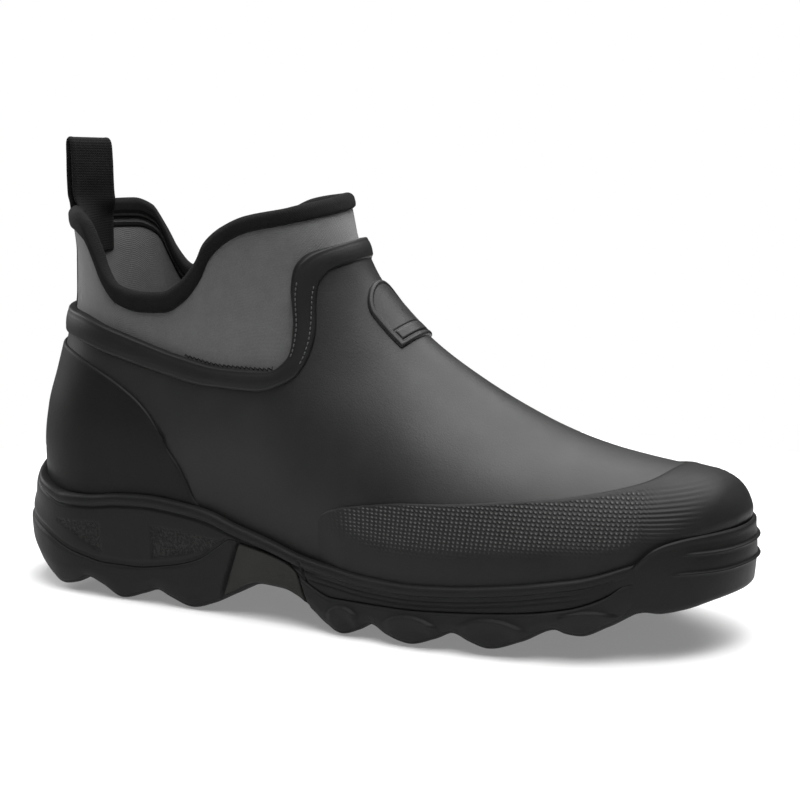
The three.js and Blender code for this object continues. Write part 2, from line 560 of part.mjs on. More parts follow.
// Pull loop: a strap from inside the collar, up over and down the outside to the band. It
// is cupped round the heel where it lies on the collar.
function makePullLoop() {
  const edge = COLLAR_HEIGHT * TOPLINE[0].up;
  const bandTop = COLLAR_HEIGHT * BAND_TOP[0].up;
  const halfWall = LOOP_WALL / 2;
  const outFace = backAt(edge) - LINING_OUT - BINDING_WALL - 2 * CLEARANCE - halfWall;
  const inFace = backAt(edge) - LINING_IN + BINDING_WALL + 2 * CLEARANCE + halfWall;
  const middle = (outFace + inFace) / 2;
  const closed = (LOOP_OPEN + LOOP_WALL) / 2;
  const leg = (face) => LOOP_LEGS.map(({ rise, parted }) => {
    const shut = middle + Math.sign(face - middle) * closed;
    const cup = face < middle ? OUTSIDE_CUP : INSIDE_CUP;
    return { x: shut + (face - shut) * parted, z: edge + LOOP_RISE * rise, cup: cup * parted };
  });
  const route = [
    { x: backAt(bandTop) - LINING_OUT - halfWall - 2 * CLEARANCE, z: bandTop + LOOP_WALL / 2, cup: OUTSIDE_CUP },
    ...leg(outFace).reverse(),
    { x: middle, z: edge + LOOP_RISE - halfWall, cup: 0 },
    ...leg(inFace),
    { x: inFace, z: edge - LOOP_INSIDE, cup: INSIDE_CUP },
  ];
  const line = new THREE.CatmullRomCurve3(route.map(({ x, z }) => new THREE.Vector3(x, 0, z)), false, 'centripetal');
  const cupAt = through(route.map(({ cup }, i) => ({ at: i / (route.length - 1), cup })), 'at', 'cup');
  const steps = 2 * (route.length - 1);
  const acrossSteps = 4;
  const points = [];
  for (const face of [-halfWall, halfWall]) {
    for (let i = 0; i <= steps; i += 1) {
      const place = line.getPoint(i / steps);
      const tangent = line.getTangent(i / steps);
      for (let k = 0; k <= acrossSteps; k += 1) {
        const y = LOOP_WIDTH * (k / acrossSteps - 0.5);
        const sag = cupAt(i / steps) * y * y / HEEL_WIDTH;
        points.push(new THREE.Vector3(place.x - tangent.z * face + sag, y, place.z + tangent.x * face));
      }
    }
  }
  return solidOf(points, slabFaces(steps + 1, acrossSteps + 1));
}

// Faces of a slab whose two big faces are grids of points, the first grid facing out.
function slabFaces(rows, columns) {
  const faces = [];
  const quad = (a, b, c, d) => faces.push(a, b, c, a, c, d);
  const at = (face, row, column) => (face * rows + row) * columns + column;
  for (let row = 0; row < rows - 1; row += 1) {
    for (let column = 0; column < columns - 1; column += 1) {
      quad(at(0, row, column), at(0, row, column + 1), at(0, row + 1, column + 1), at(0, row + 1, column));
      quad(at(1, row, column), at(1, row + 1, column), at(1, row + 1, column + 1), at(1, row, column + 1));
    }
    const last = columns - 1;
    quad(at(0, row, 0), at(0, row + 1, 0), at(1, row + 1, 0), at(1, row, 0));
    quad(at(0, row, last), at(1, row, last), at(1, row + 1, last), at(0, row + 1, last));
  }
  for (let column = 0; column < columns - 1; column += 1) {
    const last = rows - 1;
    quad(at(0, 0, column), at(1, 0, column), at(1, 0, column + 1), at(0, 0, column + 1));
    quad(at(0, last, column), at(0, last, column + 1), at(1, last, column + 1), at(1, last, column));
  }
  return faces;
}

// Sole pieces
const SOLE_BACK = 0;
const SOLE_FRONT = SOLE_LENGTH - BUMPER_PROUD;
const tuckedBack = (tuck) => SOLE_BACK + HEEL_TUCK * tuck;
const tuckedFront = (tuck) => SOLE_FRONT - TOE_TUCK * tuck;
const springAt = (x) => {
  const past = Math.max(x / SOLE_LENGTH - SPRING_START, 0) / (1 - SPRING_START);
  return TOE_SPRING * past ** 1.5;
};
const bottomAt = (x) => springAt(x) + ARCH_HEIGHT * archShare(x / SOLE_LENGTH);
const treadAt = (x) => bottomAt(x) + LUG_DEPTH * gapShare(x / SOLE_LENGTH);

// Side of the sole at x, standing out from its plain outline.
function soleHalf(x, side, out, back, front) {
  return (plainHalf(x, side) + SOLE_MARGIN + out)
    * roundOff(x - back, HEEL_ROUND + SOLE_MARGIN, END_POWER)
    * roundOff(front - x, TOE_ROUND + SOLE_MARGIN, END_POWER);
}

// Shares of the sole's length at even distances round its outline.
function evenStations(count) {
  const fine = Array.from({ length: 40 * count + 1 }, (_, i) => (1 - Math.cos(Math.PI * i / (40 * count))) / 2);
  const run = [0];
  for (let i = 1; i < fine.length; i += 1) {
    const [x, before] = [fine[i], fine[i - 1]].map((share) => SOLE_BACK + (SOLE_FRONT - SOLE_BACK) * share);
    const [y, yBefore] = [x, before].map((place) => soleHalf(place, OUTER, 0, SOLE_BACK, SOLE_FRONT));
    run.push(run[i - 1] + Math.hypot(x - before, y - yBefore));
  }
  const total = run[run.length - 1];
  return Array.from({ length: count + 1 }, (_, k) => fine[run.findIndex((length) => length >= total * k / count - TINY)]);
}
const STATIONS = evenStations(SOLE_STATIONS);

// One closed ring of points round the sole at a height that is given along it.
function soleRing(outAt, heightAt, tuck = 0) {
  const back = tuckedBack(tuck);
  const front = tuckedFront(tuck);
  const point = (share, side) => {
    const plain = back + (front - back) * share;
    const out = outAt(plain);
    const x = plain + out * (2 * share - 1) * endPull(share);
    const half = Math.max(soleHalf(plain, side, out, back, front), 0);
    return new THREE.Vector3(x, centreAt(x) + side * half, heightAt(x));
  };
  const outer = STATIONS.map((share) => point(share, OUTER));
  const inner = STATIONS.slice(1, -1).reverse().map((share) => point(share, INNER));
  return [...outer, ...inner];
}

// How much of a step in the side the two ends take as well: all of it at the ends themselves.
function endPull(share) {
  return smooth(Math.abs(2 * share - 1) ** 6);
}

// Everything inside the sole's outline, stood out by a distance, between two heights.
function soleForm(out, lowAt, highAt) {
  return loft([soleRing(() => out, lowAt), soleRing(() => out, highAt)], false);
}

// Everything between a line in side view and a far height.
function lineBlock(heightAt, far, count, halfWidth) {
  const start = -SOLE_LENGTH * 0.1;
  const end = SOLE_LENGTH * 1.1;
  const line = Array.from({ length: count + 1 }, (_, i) => {
    const x = start + (end - start) * i / count;
    return new THREE.Vector2(x, heightAt(THREE.MathUtils.clamp(x, 0, SOLE_LENGTH)));
  });
  return sideBlock([...line, new THREE.Vector2(end, far), new THREE.Vector2(start, far)], halfWidth);
}

const bandPart = (x) => 1 - smooth((x / SOLE_LENGTH - 0.3) / 0.1);

function outsoleForm(out) {
  const rings = OUTSOLE_SIDE.map((row) => soleRing(
    () => SIDE_STEP * row.out + out,
    (x) => jointAt(x) + (bottomAt(x) - jointAt(x)) * row.down - (row.down === 1 ? 1 : 0),
    row.tuck,
  ));
  return loft(rings.reverse(), false);
}

const grooveAt = (x) => bottomAt(x) + LUG_DEPTH * 0.7;

function makeOutsole() {
  const groove = lineBlock(grooveAt, -LUG_DEPTH, FLOOR_STEPS, TREAD_GROOVE / 2);
  const inlays = sideBlock(sidePoints(INLAY, RIM_HEIGHT)).subtract(outsoleForm(-INLAY_DEPTH));
  return outsoleForm(0).intersect(lineBlock(treadAt, HIGH, TREAD_STEPS)).subtract(groove).subtract(inlays);
}

function makeInlays() {
  const outline = inset(sidePoints(INLAY, RIM_HEIGHT), CLEARANCE);
  const both = outsoleForm(-INLAY_SUNK).intersect(lineBlock(treadAt, HIGH, TREAD_STEPS))
    .intersect(sideBlock(outline)).subtract(outsoleForm(-INLAY_DEPTH + CLEARANCE));
  const outer = both.intersect(sideHalf(OUTER));
  const inner = both.intersect(sideHalf(INNER));
  return { outer, inner };
}

// Everything on one side of the middle.
function sideHalf(side) {
  const box = new THREE.BoxGeometry(3 * SOLE_LENGTH, BALL_WIDTH, 2 * HIGH);
  box.translate(0, side * BALL_WIDTH / 2, 0);
  return fromGeometry(box);
}

// Moves each edge of a closed outline in by a distance.
function inset(points, distance) {
  const turnsLeft = THREE.ShapeUtils.area(points) > 0 ? 1 : -1;
  return points.map((point, i) => {
    const before = point.clone().sub(points[(i + points.length - 1) % points.length]).normalize();
    const after = points[(i + 1) % points.length].clone().sub(point).normalize();
    const normalBefore = new THREE.Vector2(-before.y, before.x).multiplyScalar(turnsLeft);
    const normalAfter = new THREE.Vector2(-after.y, after.x).multiplyScalar(turnsLeft);
    const middle = normalBefore.clone().add(normalAfter).normalize();
    return point.clone().addScaledVector(middle, distance / Math.max(middle.dot(normalAfter), 0.4));
  });
}

const BUMPER_IN = BUMPER_PROUD - BUMPER_WALL;
const GUARD_OUT = CLEARANCE + GUARD_WALL;

function bumperZone(grow) {
  const rows = BUMPER_TOP.map(({ along, up }) => new THREE.Vector2(along * SOLE_LENGTH - grow, up * RIM_HEIGHT));
  const beyond = SOLE_LENGTH * 1.1;
  const low = new THREE.Vector2(rows[0].x, 0);
  return sideBlock([...rows, new THREE.Vector2(beyond, rows[rows.length - 1].y), new THREE.Vector2(beyond, 0), low]);
}

function makeMidsole() {
  const bandLowAt = (x) => rimAt(x) - RIM_BAND;
  const startAt = (x) => jointAt(x) + CLEARANCE;
  const step = (x, out) => SIDE_STEP * out * (0.4 + 0.6 * bandPart(x));
  const rings = MIDSOLE_SIDE.map((row) => soleRing(
    (x) => step(x, row.out),
    (x) => startAt(x) + (bandLowAt(x) - startAt(x)) * row.up,
  ));
  rings.push(soleRing(() => 0, (x) => bandLowAt(x) + SIDE_STEP * 0.4));
  rings.push(soleRing(() => 0, (x) => rimAt(x) - SIDE_STEP));
  rings.push(soleRing(() => -SIDE_STEP, rimAt));
  const under = soleForm(BUMPER_IN - CLEARANCE, () => -HIGH, () => HIGH);
  const toe = bumperZone(CLEARANCE).subtract(under);
  const cup = footForm(CLEARANCE, CUP_DEPTH, RIM_ROW, RIM_HEIGHT)
    .intersect(lineBlock(floorAt, HIGH, FLOOR_STEPS));
  return loft(rings, false).subtract(cup).subtract(toe);
}

function makeBumper() {
  const topAt = (x) => RIM_HEIGHT * bumperShare(x / SOLE_LENGTH);
  const startAt = (x) => jointAt(x) + CLEARANCE;
  const rings = BUMPER_FACE.map((row) => soleRing(
    (x) => BUMPER_PROUD + RIB_PROUD * row.rib - BUMPER_LEAN * row.lean * smooth((x / SOLE_LENGTH - 0.88) * 10),
    (x) => startAt(x) + (topAt(x) - startAt(x)) * row.up,
  )).reverse();
  const filled = loft(rings, false).intersect(bumperZone(0));
  const midsole = soleForm(BUMPER_IN, () => 0, (x) => rimAt(x) + CLEARANCE);
  const foot = footForm(GUARD_OUT + CLEARANCE, 0, BAND_LOW_ROW, 0);
  return filled.subtract(midsole).subtract(foot);
}

function makeInsole() {
  const inside = footForm(LINING_IN - CLEARANCE, CUP_DEPTH, RIM_ROW, CUP_DEPTH);
  const slab = aboveFloor()
    .subtract(lineBlock((x) => floorAt(x) + CLEARANCE + INSOLE_THICKNESS, HIGH, FLOOR_STEPS));
  return inside.intersect(slab);
}

// Colours and finishes
const finish = (color, roughness) => new THREE.MeshStandardMaterial({ color, roughness, metalness: 0 });
const soleRubber = finish('#1d1e20', 0.62);
const shellRubber = finish('#2a2b2e', 0.5);
const guardRubber = finish('#17181a', 0.7);
const knit = finish('#5c5e61', 0.95);
const tape = finish('#141415', 0.9);
const foam = finish('#39393b', 0.95);

const boot = new THREE.Group();

function add(name, solid, material) {
  const mesh = solid.getMesh();
  const geometry = new THREE.BufferGeometry();
  geometry.setAttribute('position', new THREE.BufferAttribute(Float32Array.from(mesh.vertProperties), 3));
  geometry.setIndex(Array.from(mesh.triVerts));
  const piece = new THREE.Mesh(geometry, material.clone());
  piece.name = name;
  boot.add(piece);
}

const inlays = makeInlays();
add('outsole', makeOutsole(), soleRubber);
add('midsole', makeMidsole(), soleRubber);
add('toe_bumper', makeBumper(), soleRubber);
add('waist_inlay_outer', inlays.outer, guardRubber);
add('waist_inlay_inner', inlays.inner, guardRubber);
add('upper', makeUpper(), knit);
add('rubber_shell', makeShell(), shellRubber);
add('shell_band', makeBand(), shellRubber);
add('toe_guard', makeToeGuard(), guardRubber);
add('heel_counter', makeCounter(), guardRubber);
add('collar_binding', makeBinding(), tape);
add('pull_loop', makePullLoop(), tape);
add('instep_badge', makeBadge(), guardRubber);
add('insole', makeInsole(), foam);

// The part's origin is under the middle of everything, on the floor.
const box = new THREE.Box3().setFromObject(boot);
const middle = box.getCenter(new THREE.Vector3());
for (const piece of boot.children) piece.position.set(-middle.x, -middle.y, -box.min.z);

export default boot;
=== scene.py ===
"""A right rubber ankle boot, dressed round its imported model.

The surfaces come from the same sizes and tables as the solids, cut finer and with rounded
edges, seams, stitches and relief. Lengths are in millimetres in the boot's own coordinates:
x from the sole's heel end to the toe, y towards the inner side of the foot, z up.
"""
import math

import bmesh
import bpy
import numpy as np
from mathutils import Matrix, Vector


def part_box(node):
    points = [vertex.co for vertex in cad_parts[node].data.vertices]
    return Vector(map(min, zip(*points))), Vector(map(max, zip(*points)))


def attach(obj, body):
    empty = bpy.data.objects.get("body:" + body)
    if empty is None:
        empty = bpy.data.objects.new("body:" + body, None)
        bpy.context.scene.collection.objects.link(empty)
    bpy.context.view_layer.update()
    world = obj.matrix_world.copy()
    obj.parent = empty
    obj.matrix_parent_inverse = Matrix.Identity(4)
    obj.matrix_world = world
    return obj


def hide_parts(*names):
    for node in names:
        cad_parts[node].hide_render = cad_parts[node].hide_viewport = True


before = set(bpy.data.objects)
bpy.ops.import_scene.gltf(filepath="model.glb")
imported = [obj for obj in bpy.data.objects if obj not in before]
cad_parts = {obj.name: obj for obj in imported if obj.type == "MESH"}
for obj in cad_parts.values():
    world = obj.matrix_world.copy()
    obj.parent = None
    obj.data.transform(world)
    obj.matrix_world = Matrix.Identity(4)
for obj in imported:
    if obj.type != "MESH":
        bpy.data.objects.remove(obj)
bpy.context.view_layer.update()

MM = 0.001

# Main sizes, as in the solids
SOLE_LENGTH = 295
BALL_WIDTH = 96
HEEL_WIDTH = 69
SHAFT_WIDTH = 64
COLLAR_HEIGHT = 156
RIM_HEIGHT = 43
TOE_SWING = 9
ANKLE_BLEND_LOW = 40
ANKLE_BLEND_HIGH = 115
CLEARANCE = 0.3
LINING_WALL = 3
SHELL_WALL = 1.7
GUARD_WALL = 1.1
COUNTER_WALL = 0.9
BAND_PROUD = 1.7
BINDING_WALL = 1.6
CUP_DEPTH = 7
SOLE_MARGIN = 3.9
RIM_BAND = 4.2
SIDE_STEP = 1
LUG_DEPTH = 6
HEEL_TUCK = 6
TOE_TUCK = 3
TREAD_GROOVE = 9
BUMPER_PROUD = 1.3
BUMPER_LEAN = 3.5
RIB_PROUD = 0.9
INSOLE_THICKNESS = 4.5
LOOP_WIDTH = 20
LOOP_RISE = 25.5
LOOP_INSIDE = 17.8
BADGE_WIDTH = 24
BADGE_LENGTH = 28
BADGE_WALL = 1.3
BADGE_UP = 0.742
TOE_TIP = 0.269
END_POWER = 2.15
DOME_POWER = 2.4
COLLAR_POWER = 0.9
COLLAR_BLEND_START = 0.80
COLLAR_BLEND_LENGTH = 0.15
TOE_BLEND_START = 0.8
TOE_BLEND_LENGTH = 0.18
OUTER, INNER = -1, 1
LINING_OUT = -SHELL_WALL - CLEARANCE
LINING_IN = LINING_OUT - LINING_WALL

# Tables, as in the solids: shares of the sizes above
PLAN = {
    "along": [0, 0.12, 0.27, 0.41, 0.54, 0.66, 0.76, 0.86, 0.95, 1.02],
    "outer": [0, 0.02, 0.12, 0.32, 0.72, 1.03, 1.03, 0.82, 0.60, 0.52],
    "inner": [0, 0, -0.10, -0.08, 0.27, 0.77, 1.00, 0.84, 0.62, 0.55],
    "swing": [0, 0, 0, 0.02, 0.10, 0.33, 0.58, 0.86, 1.00, 1.00],
}
FRONT = {
    "up": [0.128, 0.205, 0.269, 0.321, 0.365, 0.397, 0.417, 0.430, 0.449, 0.481, 0.526, 0.590,
           0.667, 0.744, 0.833, 0.923, 1.000, 1.280, 1.920, 2.560],
    "along": [0.973, 0.980, 0.982, 0.979, 0.965, 0.938, 0.898, 0.851, 0.800, 0.746, 0.693, 0.631,
              0.570, 0.523, 0.482, 0.456, 0.441, 0.412, 0.332, 0.288],
}
BACK = {
    "up": [0.128, 0.256, 0.353, 0.449, 0.545, 0.641, 0.737, 0.833, 0.936, 1.050],
    "along": [0.025, 0.017, 0.015, 0.021, 0.035, 0.047, 0.053, 0.0535, 0.046, 0.043],
}
SHAFT = {
    "up": [0.12, 0.38, 0.51, 0.64, 0.77, 0.96, 1.10],
    "wide": [1.12, 1.12, 1.05, 1.00, 0.985, 1.00, 1.00],
}
RIM = {
    "along": [0, 0.03, 0.06, 0.09, 0.13, 0.18, 0.23, 0.28, 0.32, 0.36, 0.41, 0.46, 0.51, 0.56,
              0.61, 0.68, 0.74, 0.80, 0.85, 0.93, 1.00],
    "rim": [1.07, 1.04, 1.00, 0.945, 0.94, 0.98, 1.00, 0.98, 0.945, 0.87, 0.785, 0.69, 0.625,
            0.585, 0.575, 0.60, 0.65, 0.725, 0.80, 0.94, 1.08],
}
JOINT = {
    "along": [0, 0.06, 0.09, 0.12, 0.16, 0.20, 0.26, 0.305, 0.335, 0.355, 0.38, 0.44, 0.475,
              0.51, 0.61, 0.68, 0.75, 0.83, 0.855, 0.875, 0.890, 0.905, 1.00],
    "joint": [0.635, 0.52, 0.43, 0.368, 0.32, 0.32, 0.38, 0.475, 0.615, 0.698, 0.672, 0.575, 0.41,
              0.32, 0.325, 0.35, 0.39, 0.47, 0.525, 0.595, 0.675, 0.71, 0.80],
}
TOPLINE = {
    "round": [0, 0.085, 0.140, 0.172, 0.196, 0.236, 0.305, 0.380, 0.449, 0.542, 0.600, 0.685,
              0.770, 0.930, 1.000],
    "up": [0.946, 0.945, 0.926, 0.872, 0.824, 0.781, 0.766, 0.769, 0.794, 0.853, 0.902, 0.945,
           0.972, 0.998, 1.009],
}
BAND_TOP = {
    "round": [0, 0.10, 0.21, 0.30, 0.39, 0.50, 0.60, 0.675, 0.76, 0.83, 0.88, 0.936, 1.00],
    "up": [0.702, 0.699, 0.673, 0.647, 0.622, 0.603, 0.604, 0.634, 0.715, 0.808, 0.858, 0.889,
           0.905],
}
BAND_LOW = {
    "round": [0, 0.10, 0.21, 0.32, 0.43, 0.54, 0.64, 0.72, 0.80, 0.87, 0.90, 0.95, 1.00],
    "up": [0.638, 0.632, 0.606, 0.578, 0.555, 0.554, 0.582, 0.630, 0.698, 0.780, 0.812, 0.845,
           0.858],
}
GUARD_EDGE = {
    "along": [0.470, 0.478, 0.486, 0.517, 0.545, 0.601, 0.655, 0.704, 0.751, 0.803, 0.854, 0.878,
              0.891, 0.903, 0.910],
    "up": [0.17, 0.245, 0.285, 0.307, 0.318, 0.334, 0.341, 0.349, 0.359, 0.369, 0.386, 0.397,
           0.406, 0.425, 0.460],
}
COUNTER_EDGE = {
    "along": [0, 0.088, 0.132, 0.193, 0.221, 0.239, 0.254, 0.270, 0.282, 0.292, 0.305, 0.322],
    "up": [0.622, 0.603, 0.577, 0.519, 0.478, 0.436, 0.391, 0.353, 0.315, 0.28, 0.25, 0.20],
}
# Underside in side view: height of the tread above the ground, in millimetres
TREAD = {
    "along": [0, 0.022, 0.050, 0.083, 0.107, 0.129, 0.152, 0.182, 0.212, 0.238, 0.258, 0.290, 0.320,
              0.352, 0.399, 0.430, 0.458, 0.480, 0.500, 0.522, 0.545, 0.567, 0.590, 0.622, 0.655,
              0.681, 0.704, 0.728, 0.770, 0.812, 0.825, 0.842, 0.870, 0.912, 0.928, 0.951, 0.975,
              1.000],
    "up": [11.5, 8.2, 4.6, 1.6, 3.2, 6.2, 4.0, 0.0, 2.6, 5.0, 2.9, 0.3, 2.9, 7.6, 13.4, 13.0, 10.6,
           6.6, 2.6, 0.2, 2.5, 5.6, 2.6, 0.7, 3.6, 6.7, 4.3, 2.5, 6.3, 11.6, 10.3, 9.6, 13.0, 18.6,
           17.9, 18.8, 20.9, 22.6],
}
OUTSOLE_SIDE = {
    "down": [0, 0.10, 0.50, 0.80, 0.92, 1.00],
    "out": [-0.25, 0.25, 0.25, -0.25, -0.75, -1.5],
    "tuck": [0, -0.18, -0.10, 0.20, 0.40, 0.62],
}
BUMPER_TOP = {
    "along": [0.868, 0.880, 0.894, 0.907, 0.922, 0.937, 0.960, 0.984, 1.000],
    "up": [0.725, 0.755, 0.805, 0.885, 0.983, 1.032, 1.068, 1.085, 1.090],
}
# How much lower the seen rim is than the cup that holds the foot
RIM_DROP = {
    "along": [0, 0.02, 0.06, 0.10, 0.16, 0.30, 0.36, 0.45, 0.52, 0.69, 0.80, 0.85, 0.90, 1.00],
    "drop": [-2.2, 0.6, 1.7, 1.3, 0.6, 1.1, 1.8, 2.1, 1.4, 1.3, 1.8, 2.5, 1.5, 2.2],
}
OUTSIDE_CUP = 1.05
INSIDE_CUP = 1.25


def smooth(t):
    t = np.clip(t, 0, 1)
    return t * t * (3 - 2 * t)


def curve(table, key, value):
    """A smooth curve through two columns of a table that never overshoots."""
    xs, ys = np.array(table[key], float), np.array(table[value], float)
    widths = np.diff(xs)
    chords = np.diff(ys) / widths
    before = np.concatenate([chords[:1], chords])
    after = np.concatenate([chords, chords[-1:]])
    both = before * after
    slopes = np.where(both > 0, 2 * both / np.where(both > 0, before + after, 1), 0)

    def at(x):
        x = np.asarray(x, float)
        i = np.clip(np.searchsorted(xs, x) - 1, 0, len(xs) - 2)
        width = widths[i]
        t = np.clip((x - xs[i]) / width, 0, 1)
        rest = 1 - t
        return (ys[i] * rest * rest * (1 + 2 * t) + slopes[i] * width * t * rest * rest
                + ys[i + 1] * t * t * (3 - 2 * t) - slopes[i + 1] * width * t * t * rest)

    return at


outer_share = curve(PLAN, "along", "outer")
inner_share = curve(PLAN, "along", "inner")
swing_share = curve(PLAN, "along", "swing")
front_share = curve(FRONT, "up", "along")
back_share = curve(BACK, "up", "along")
shaft_share = curve(SHAFT, "up", "wide")
rim_share = curve(RIM, "along", "rim")
joint_share = curve(JOINT, "along", "joint")
topline_share = curve(TOPLINE, "round", "up")
band_top_share = curve(BAND_TOP, "round", "up")
band_low_share = curve(BAND_LOW, "round", "up")
guard_edge = curve(GUARD_EDGE, "along", "up")
counter_edge = curve(COUNTER_EDGE, "along", "up")
tread_up = curve(TREAD, "along", "up")
rim_drop = curve(RIM_DROP, "along", "drop")
side_out = curve(OUTSOLE_SIDE, "down", "out")
side_tuck = curve(OUTSOLE_SIDE, "down", "tuck")
bumper_share = curve(BUMPER_TOP, "along", "up")

TIP_Z = TOE_TIP * COLLAR_HEIGHT
HEEL_ROUND = HEEL_WIDTH * 0.5
TOE_ROUND = BALL_WIDTH * 0.62


def centre_at(x):
    return TOE_SWING * swing_share(x / SOLE_LENGTH)


def front_at(z):
    return SOLE_LENGTH * front_share(z / COLLAR_HEIGHT)


def back_at(z):
    return SOLE_LENGTH * back_share(z / COLLAR_HEIGHT)


def cup_rim_at(x):
    return RIM_HEIGHT * rim_share(x / SOLE_LENGTH)


def rim_at(x):
    return cup_rim_at(x) - rim_drop(x / SOLE_LENGTH)


def joint_at(x):
    return RIM_HEIGHT * joint_share(x / SOLE_LENGTH)


def floor_at(x):
    return cup_rim_at(x) - CUP_DEPTH


def plain_half(x, side):
    share = np.where(side == OUTER, outer_share(x / SOLE_LENGTH), inner_share(x / SOLE_LENGTH))
    return HEEL_WIDTH / 2 + (BALL_WIDTH - HEEL_WIDTH) / 2 * share


def round_off(distance, length):
    t = np.clip(1 - distance / length, 0, 1)
    return np.sqrt(np.maximum(1 - t ** END_POWER, 0))


ridge_z = np.linspace(TIP_Z, FRONT["up"][-1] * COLLAR_HEIGHT, 4000)
ridge_x = front_at(ridge_z)


def ridge_at(x):
    return np.interp(x, ridge_x[::-1], ridge_z[::-1])


def upper_half(x, z, side):
    to_shaft = smooth((z - ANKLE_BLEND_LOW) / (ANKLE_BLEND_HIGH - ANKLE_BLEND_LOW))
    toe_end = front_at(np.minimum(z, TIP_Z))
    foot = plain_half(x, side) * round_off(toe_end - x, TOE_ROUND)
    leg = SHAFT_WIDTH / 2 * shaft_share(z / COLLAR_HEIGHT)
    base = foot + (leg - foot) * to_shaft
    to_tip = smooth((x / SOLE_LENGTH - TOE_BLEND_START) / TOE_BLEND_LENGTH)
    level = floor_at(x) + (TIP_Z - floor_at(x)) * to_tip
    rise = np.clip((z - level) / (ridge_at(x) - level), 0, 1)
    to_collar = smooth((z / COLLAR_HEIGHT - COLLAR_BLEND_START) / COLLAR_BLEND_LENGTH)
    power = DOME_POWER + COLLAR_POWER * to_collar
    dome = np.sqrt(np.maximum(1 - rise ** power, 0))
    return base * dome * round_off(x - back_at(z), HEEL_ROUND)


def surface(turn, z):
    """The upper's own surface, with the turn from the heel (0) by the outer side to the toe."""
    share = (1 - np.cos(turn)) / 2
    side = np.where(np.sin(turn) >= 0, OUTER, INNER)
    x = back_at(z) + (front_at(z) - back_at(z)) * share
    return np.stack([x, centre_at(x) + side * upper_half(x, z, side), z + 0 * x], -1)


def normal_at(turn, z):
    step = 0.02
    across = surface(turn + step, z) - surface(turn - step, z)
    up = surface(turn, z + step) - surface(turn, z - step)
    normal = np.cross(across, up)
    return normal / np.linalg.norm(normal, axis=-1, keepdims=True)


def off_surface(turn, z, out):
    turn, z, out = np.broadcast_arrays(turn, z, out)
    return surface(turn, z) + normal_at(turn, z) * out[..., None]


def meet(turn, height_at):
    z = height_at(np.full_like(turn, SOLE_LENGTH / 2))
    for _ in range(30):
        z = (z + height_at(surface(turn, z)[..., 0])) / 2
    return z


def even_turns(count, start=0.0, end=2 * math.pi, height=60.0):
    """Turns at even distances round the upper at a height."""
    fine = np.linspace(start, end, 6000)
    points = surface(fine, np.full_like(fine, height))
    run = np.concatenate([[0], np.cumsum(np.linalg.norm(np.diff(points, axis=0), axis=1))])
    return np.interp(np.linspace(0, run[-1], count), run, fine)


def lengths(points, axis):
    """Distance run along an axis of a grid of points, from its start."""
    steps = np.linalg.norm(np.diff(points, axis=axis), axis=-1)
    zero = np.zeros_like(np.take(steps, [0], axis=axis))
    return np.cumsum(np.concatenate([zero, steps], axis=axis), axis=axis)


# Where the boot's coordinates lie in the model's frame: the midsole starts at x = 0, and the
# pull loop is centred on y = 0.
loop_low, loop_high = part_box("pull_loop")
OFFSET = np.array([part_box("midsole")[0][0] / MM, (loop_low[1] + loop_high[1]) / 2 / MM, 0.0])


def to_frame(points):
    return (np.asarray(points) + OFFSET) * MM


# Meshes
def add_mesh(name, points, faces, material, nodes=(), flow=None):
    """A piece of the boot from points in its own coordinates. flow holds a distance round, a
    distance up and a mask for each point, which the materials read."""
    mesh = bpy.data.meshes.new(name)
    mesh.from_pydata(to_frame(points).tolist(), [], [list(map(int, face)) for face in faces])
    if flow is not None:
        layer = mesh.attributes.new("flow", "FLOAT_VECTOR", "POINT")
        layer.data.foreach_set("vector", np.asarray(flow, np.float32).ravel())
    work = bmesh.new()
    work.from_mesh(mesh)
    bmesh.ops.remove_doubles(work, verts=work.verts, dist=0.00001)
    bmesh.ops.dissolve_degenerate(work, edges=work.edges, dist=0.000001)
    bmesh.ops.recalc_face_normals(work, faces=work.faces)
    work.to_mesh(mesh)
    work.free()
    mesh.polygons.foreach_set("use_smooth", [True] * len(mesh.polygons))
    mesh.materials.append(material)
    piece = bpy.data.objects.new(name, mesh)
    bpy.context.collection.objects.link(piece)
    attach(piece, "root")
    if nodes:
        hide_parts(*nodes)
    return piece


def grid_faces(rows, columns, wrap_rows=False, wrap_columns=False):
    r = np.arange(rows if wrap_rows else rows - 1)
    c = np.arange(columns if wrap_columns else columns - 1)
    r, c = np.meshgrid(r, c, indexing="ij")
    r2, c2 = (r + 1) % rows, (c + 1) % columns
    quads = np.stack([r * columns + c, r * columns + c2, r2 * columns + c2, r2 * columns + c], -1)
    return quads.reshape(-1, 4)


def add_grid(name, points, material, nodes=(), flow=None, wrap_rows=False,
             wrap_columns=False, caps=False):
    rows, columns = points.shape[:2]
    faces = list(grid_faces(rows, columns, wrap_rows, wrap_columns))
    if caps:
        faces.append(list(range(0, rows * columns, columns)))
        faces.append(list(range(columns - 1, rows * columns, columns))[::-1])
    flat = None if flow is None else flow.reshape(-1, 3)
    return add_mesh(name, points.reshape(-1, 3), faces, material, nodes, flat)


def profile_skin(turns, rows):
    """Points of a skin on the upper. rows is a list of (heights, outs); an out may be one number."""
    return np.stack([off_surface(turns, z, out) for z, out in rows])


def skin_flow(points, mask=None):
    """Distance round from the heel's middle, up from the first row, and a mask."""
    rows, columns = points.shape[:2]
    round_run = lengths(points, 1)
    half = round_run[:, -1:] / 2
    u = np.where(round_run > half, 2 * half - round_run, round_run)
    v = lengths(points, 0)
    m = np.ones((rows, columns)) if mask is None else mask
    return np.stack([u, v, m], -1)


def closed_ring(count, height=60.0):
    return even_turns(count + 1, height=height)[:-1]


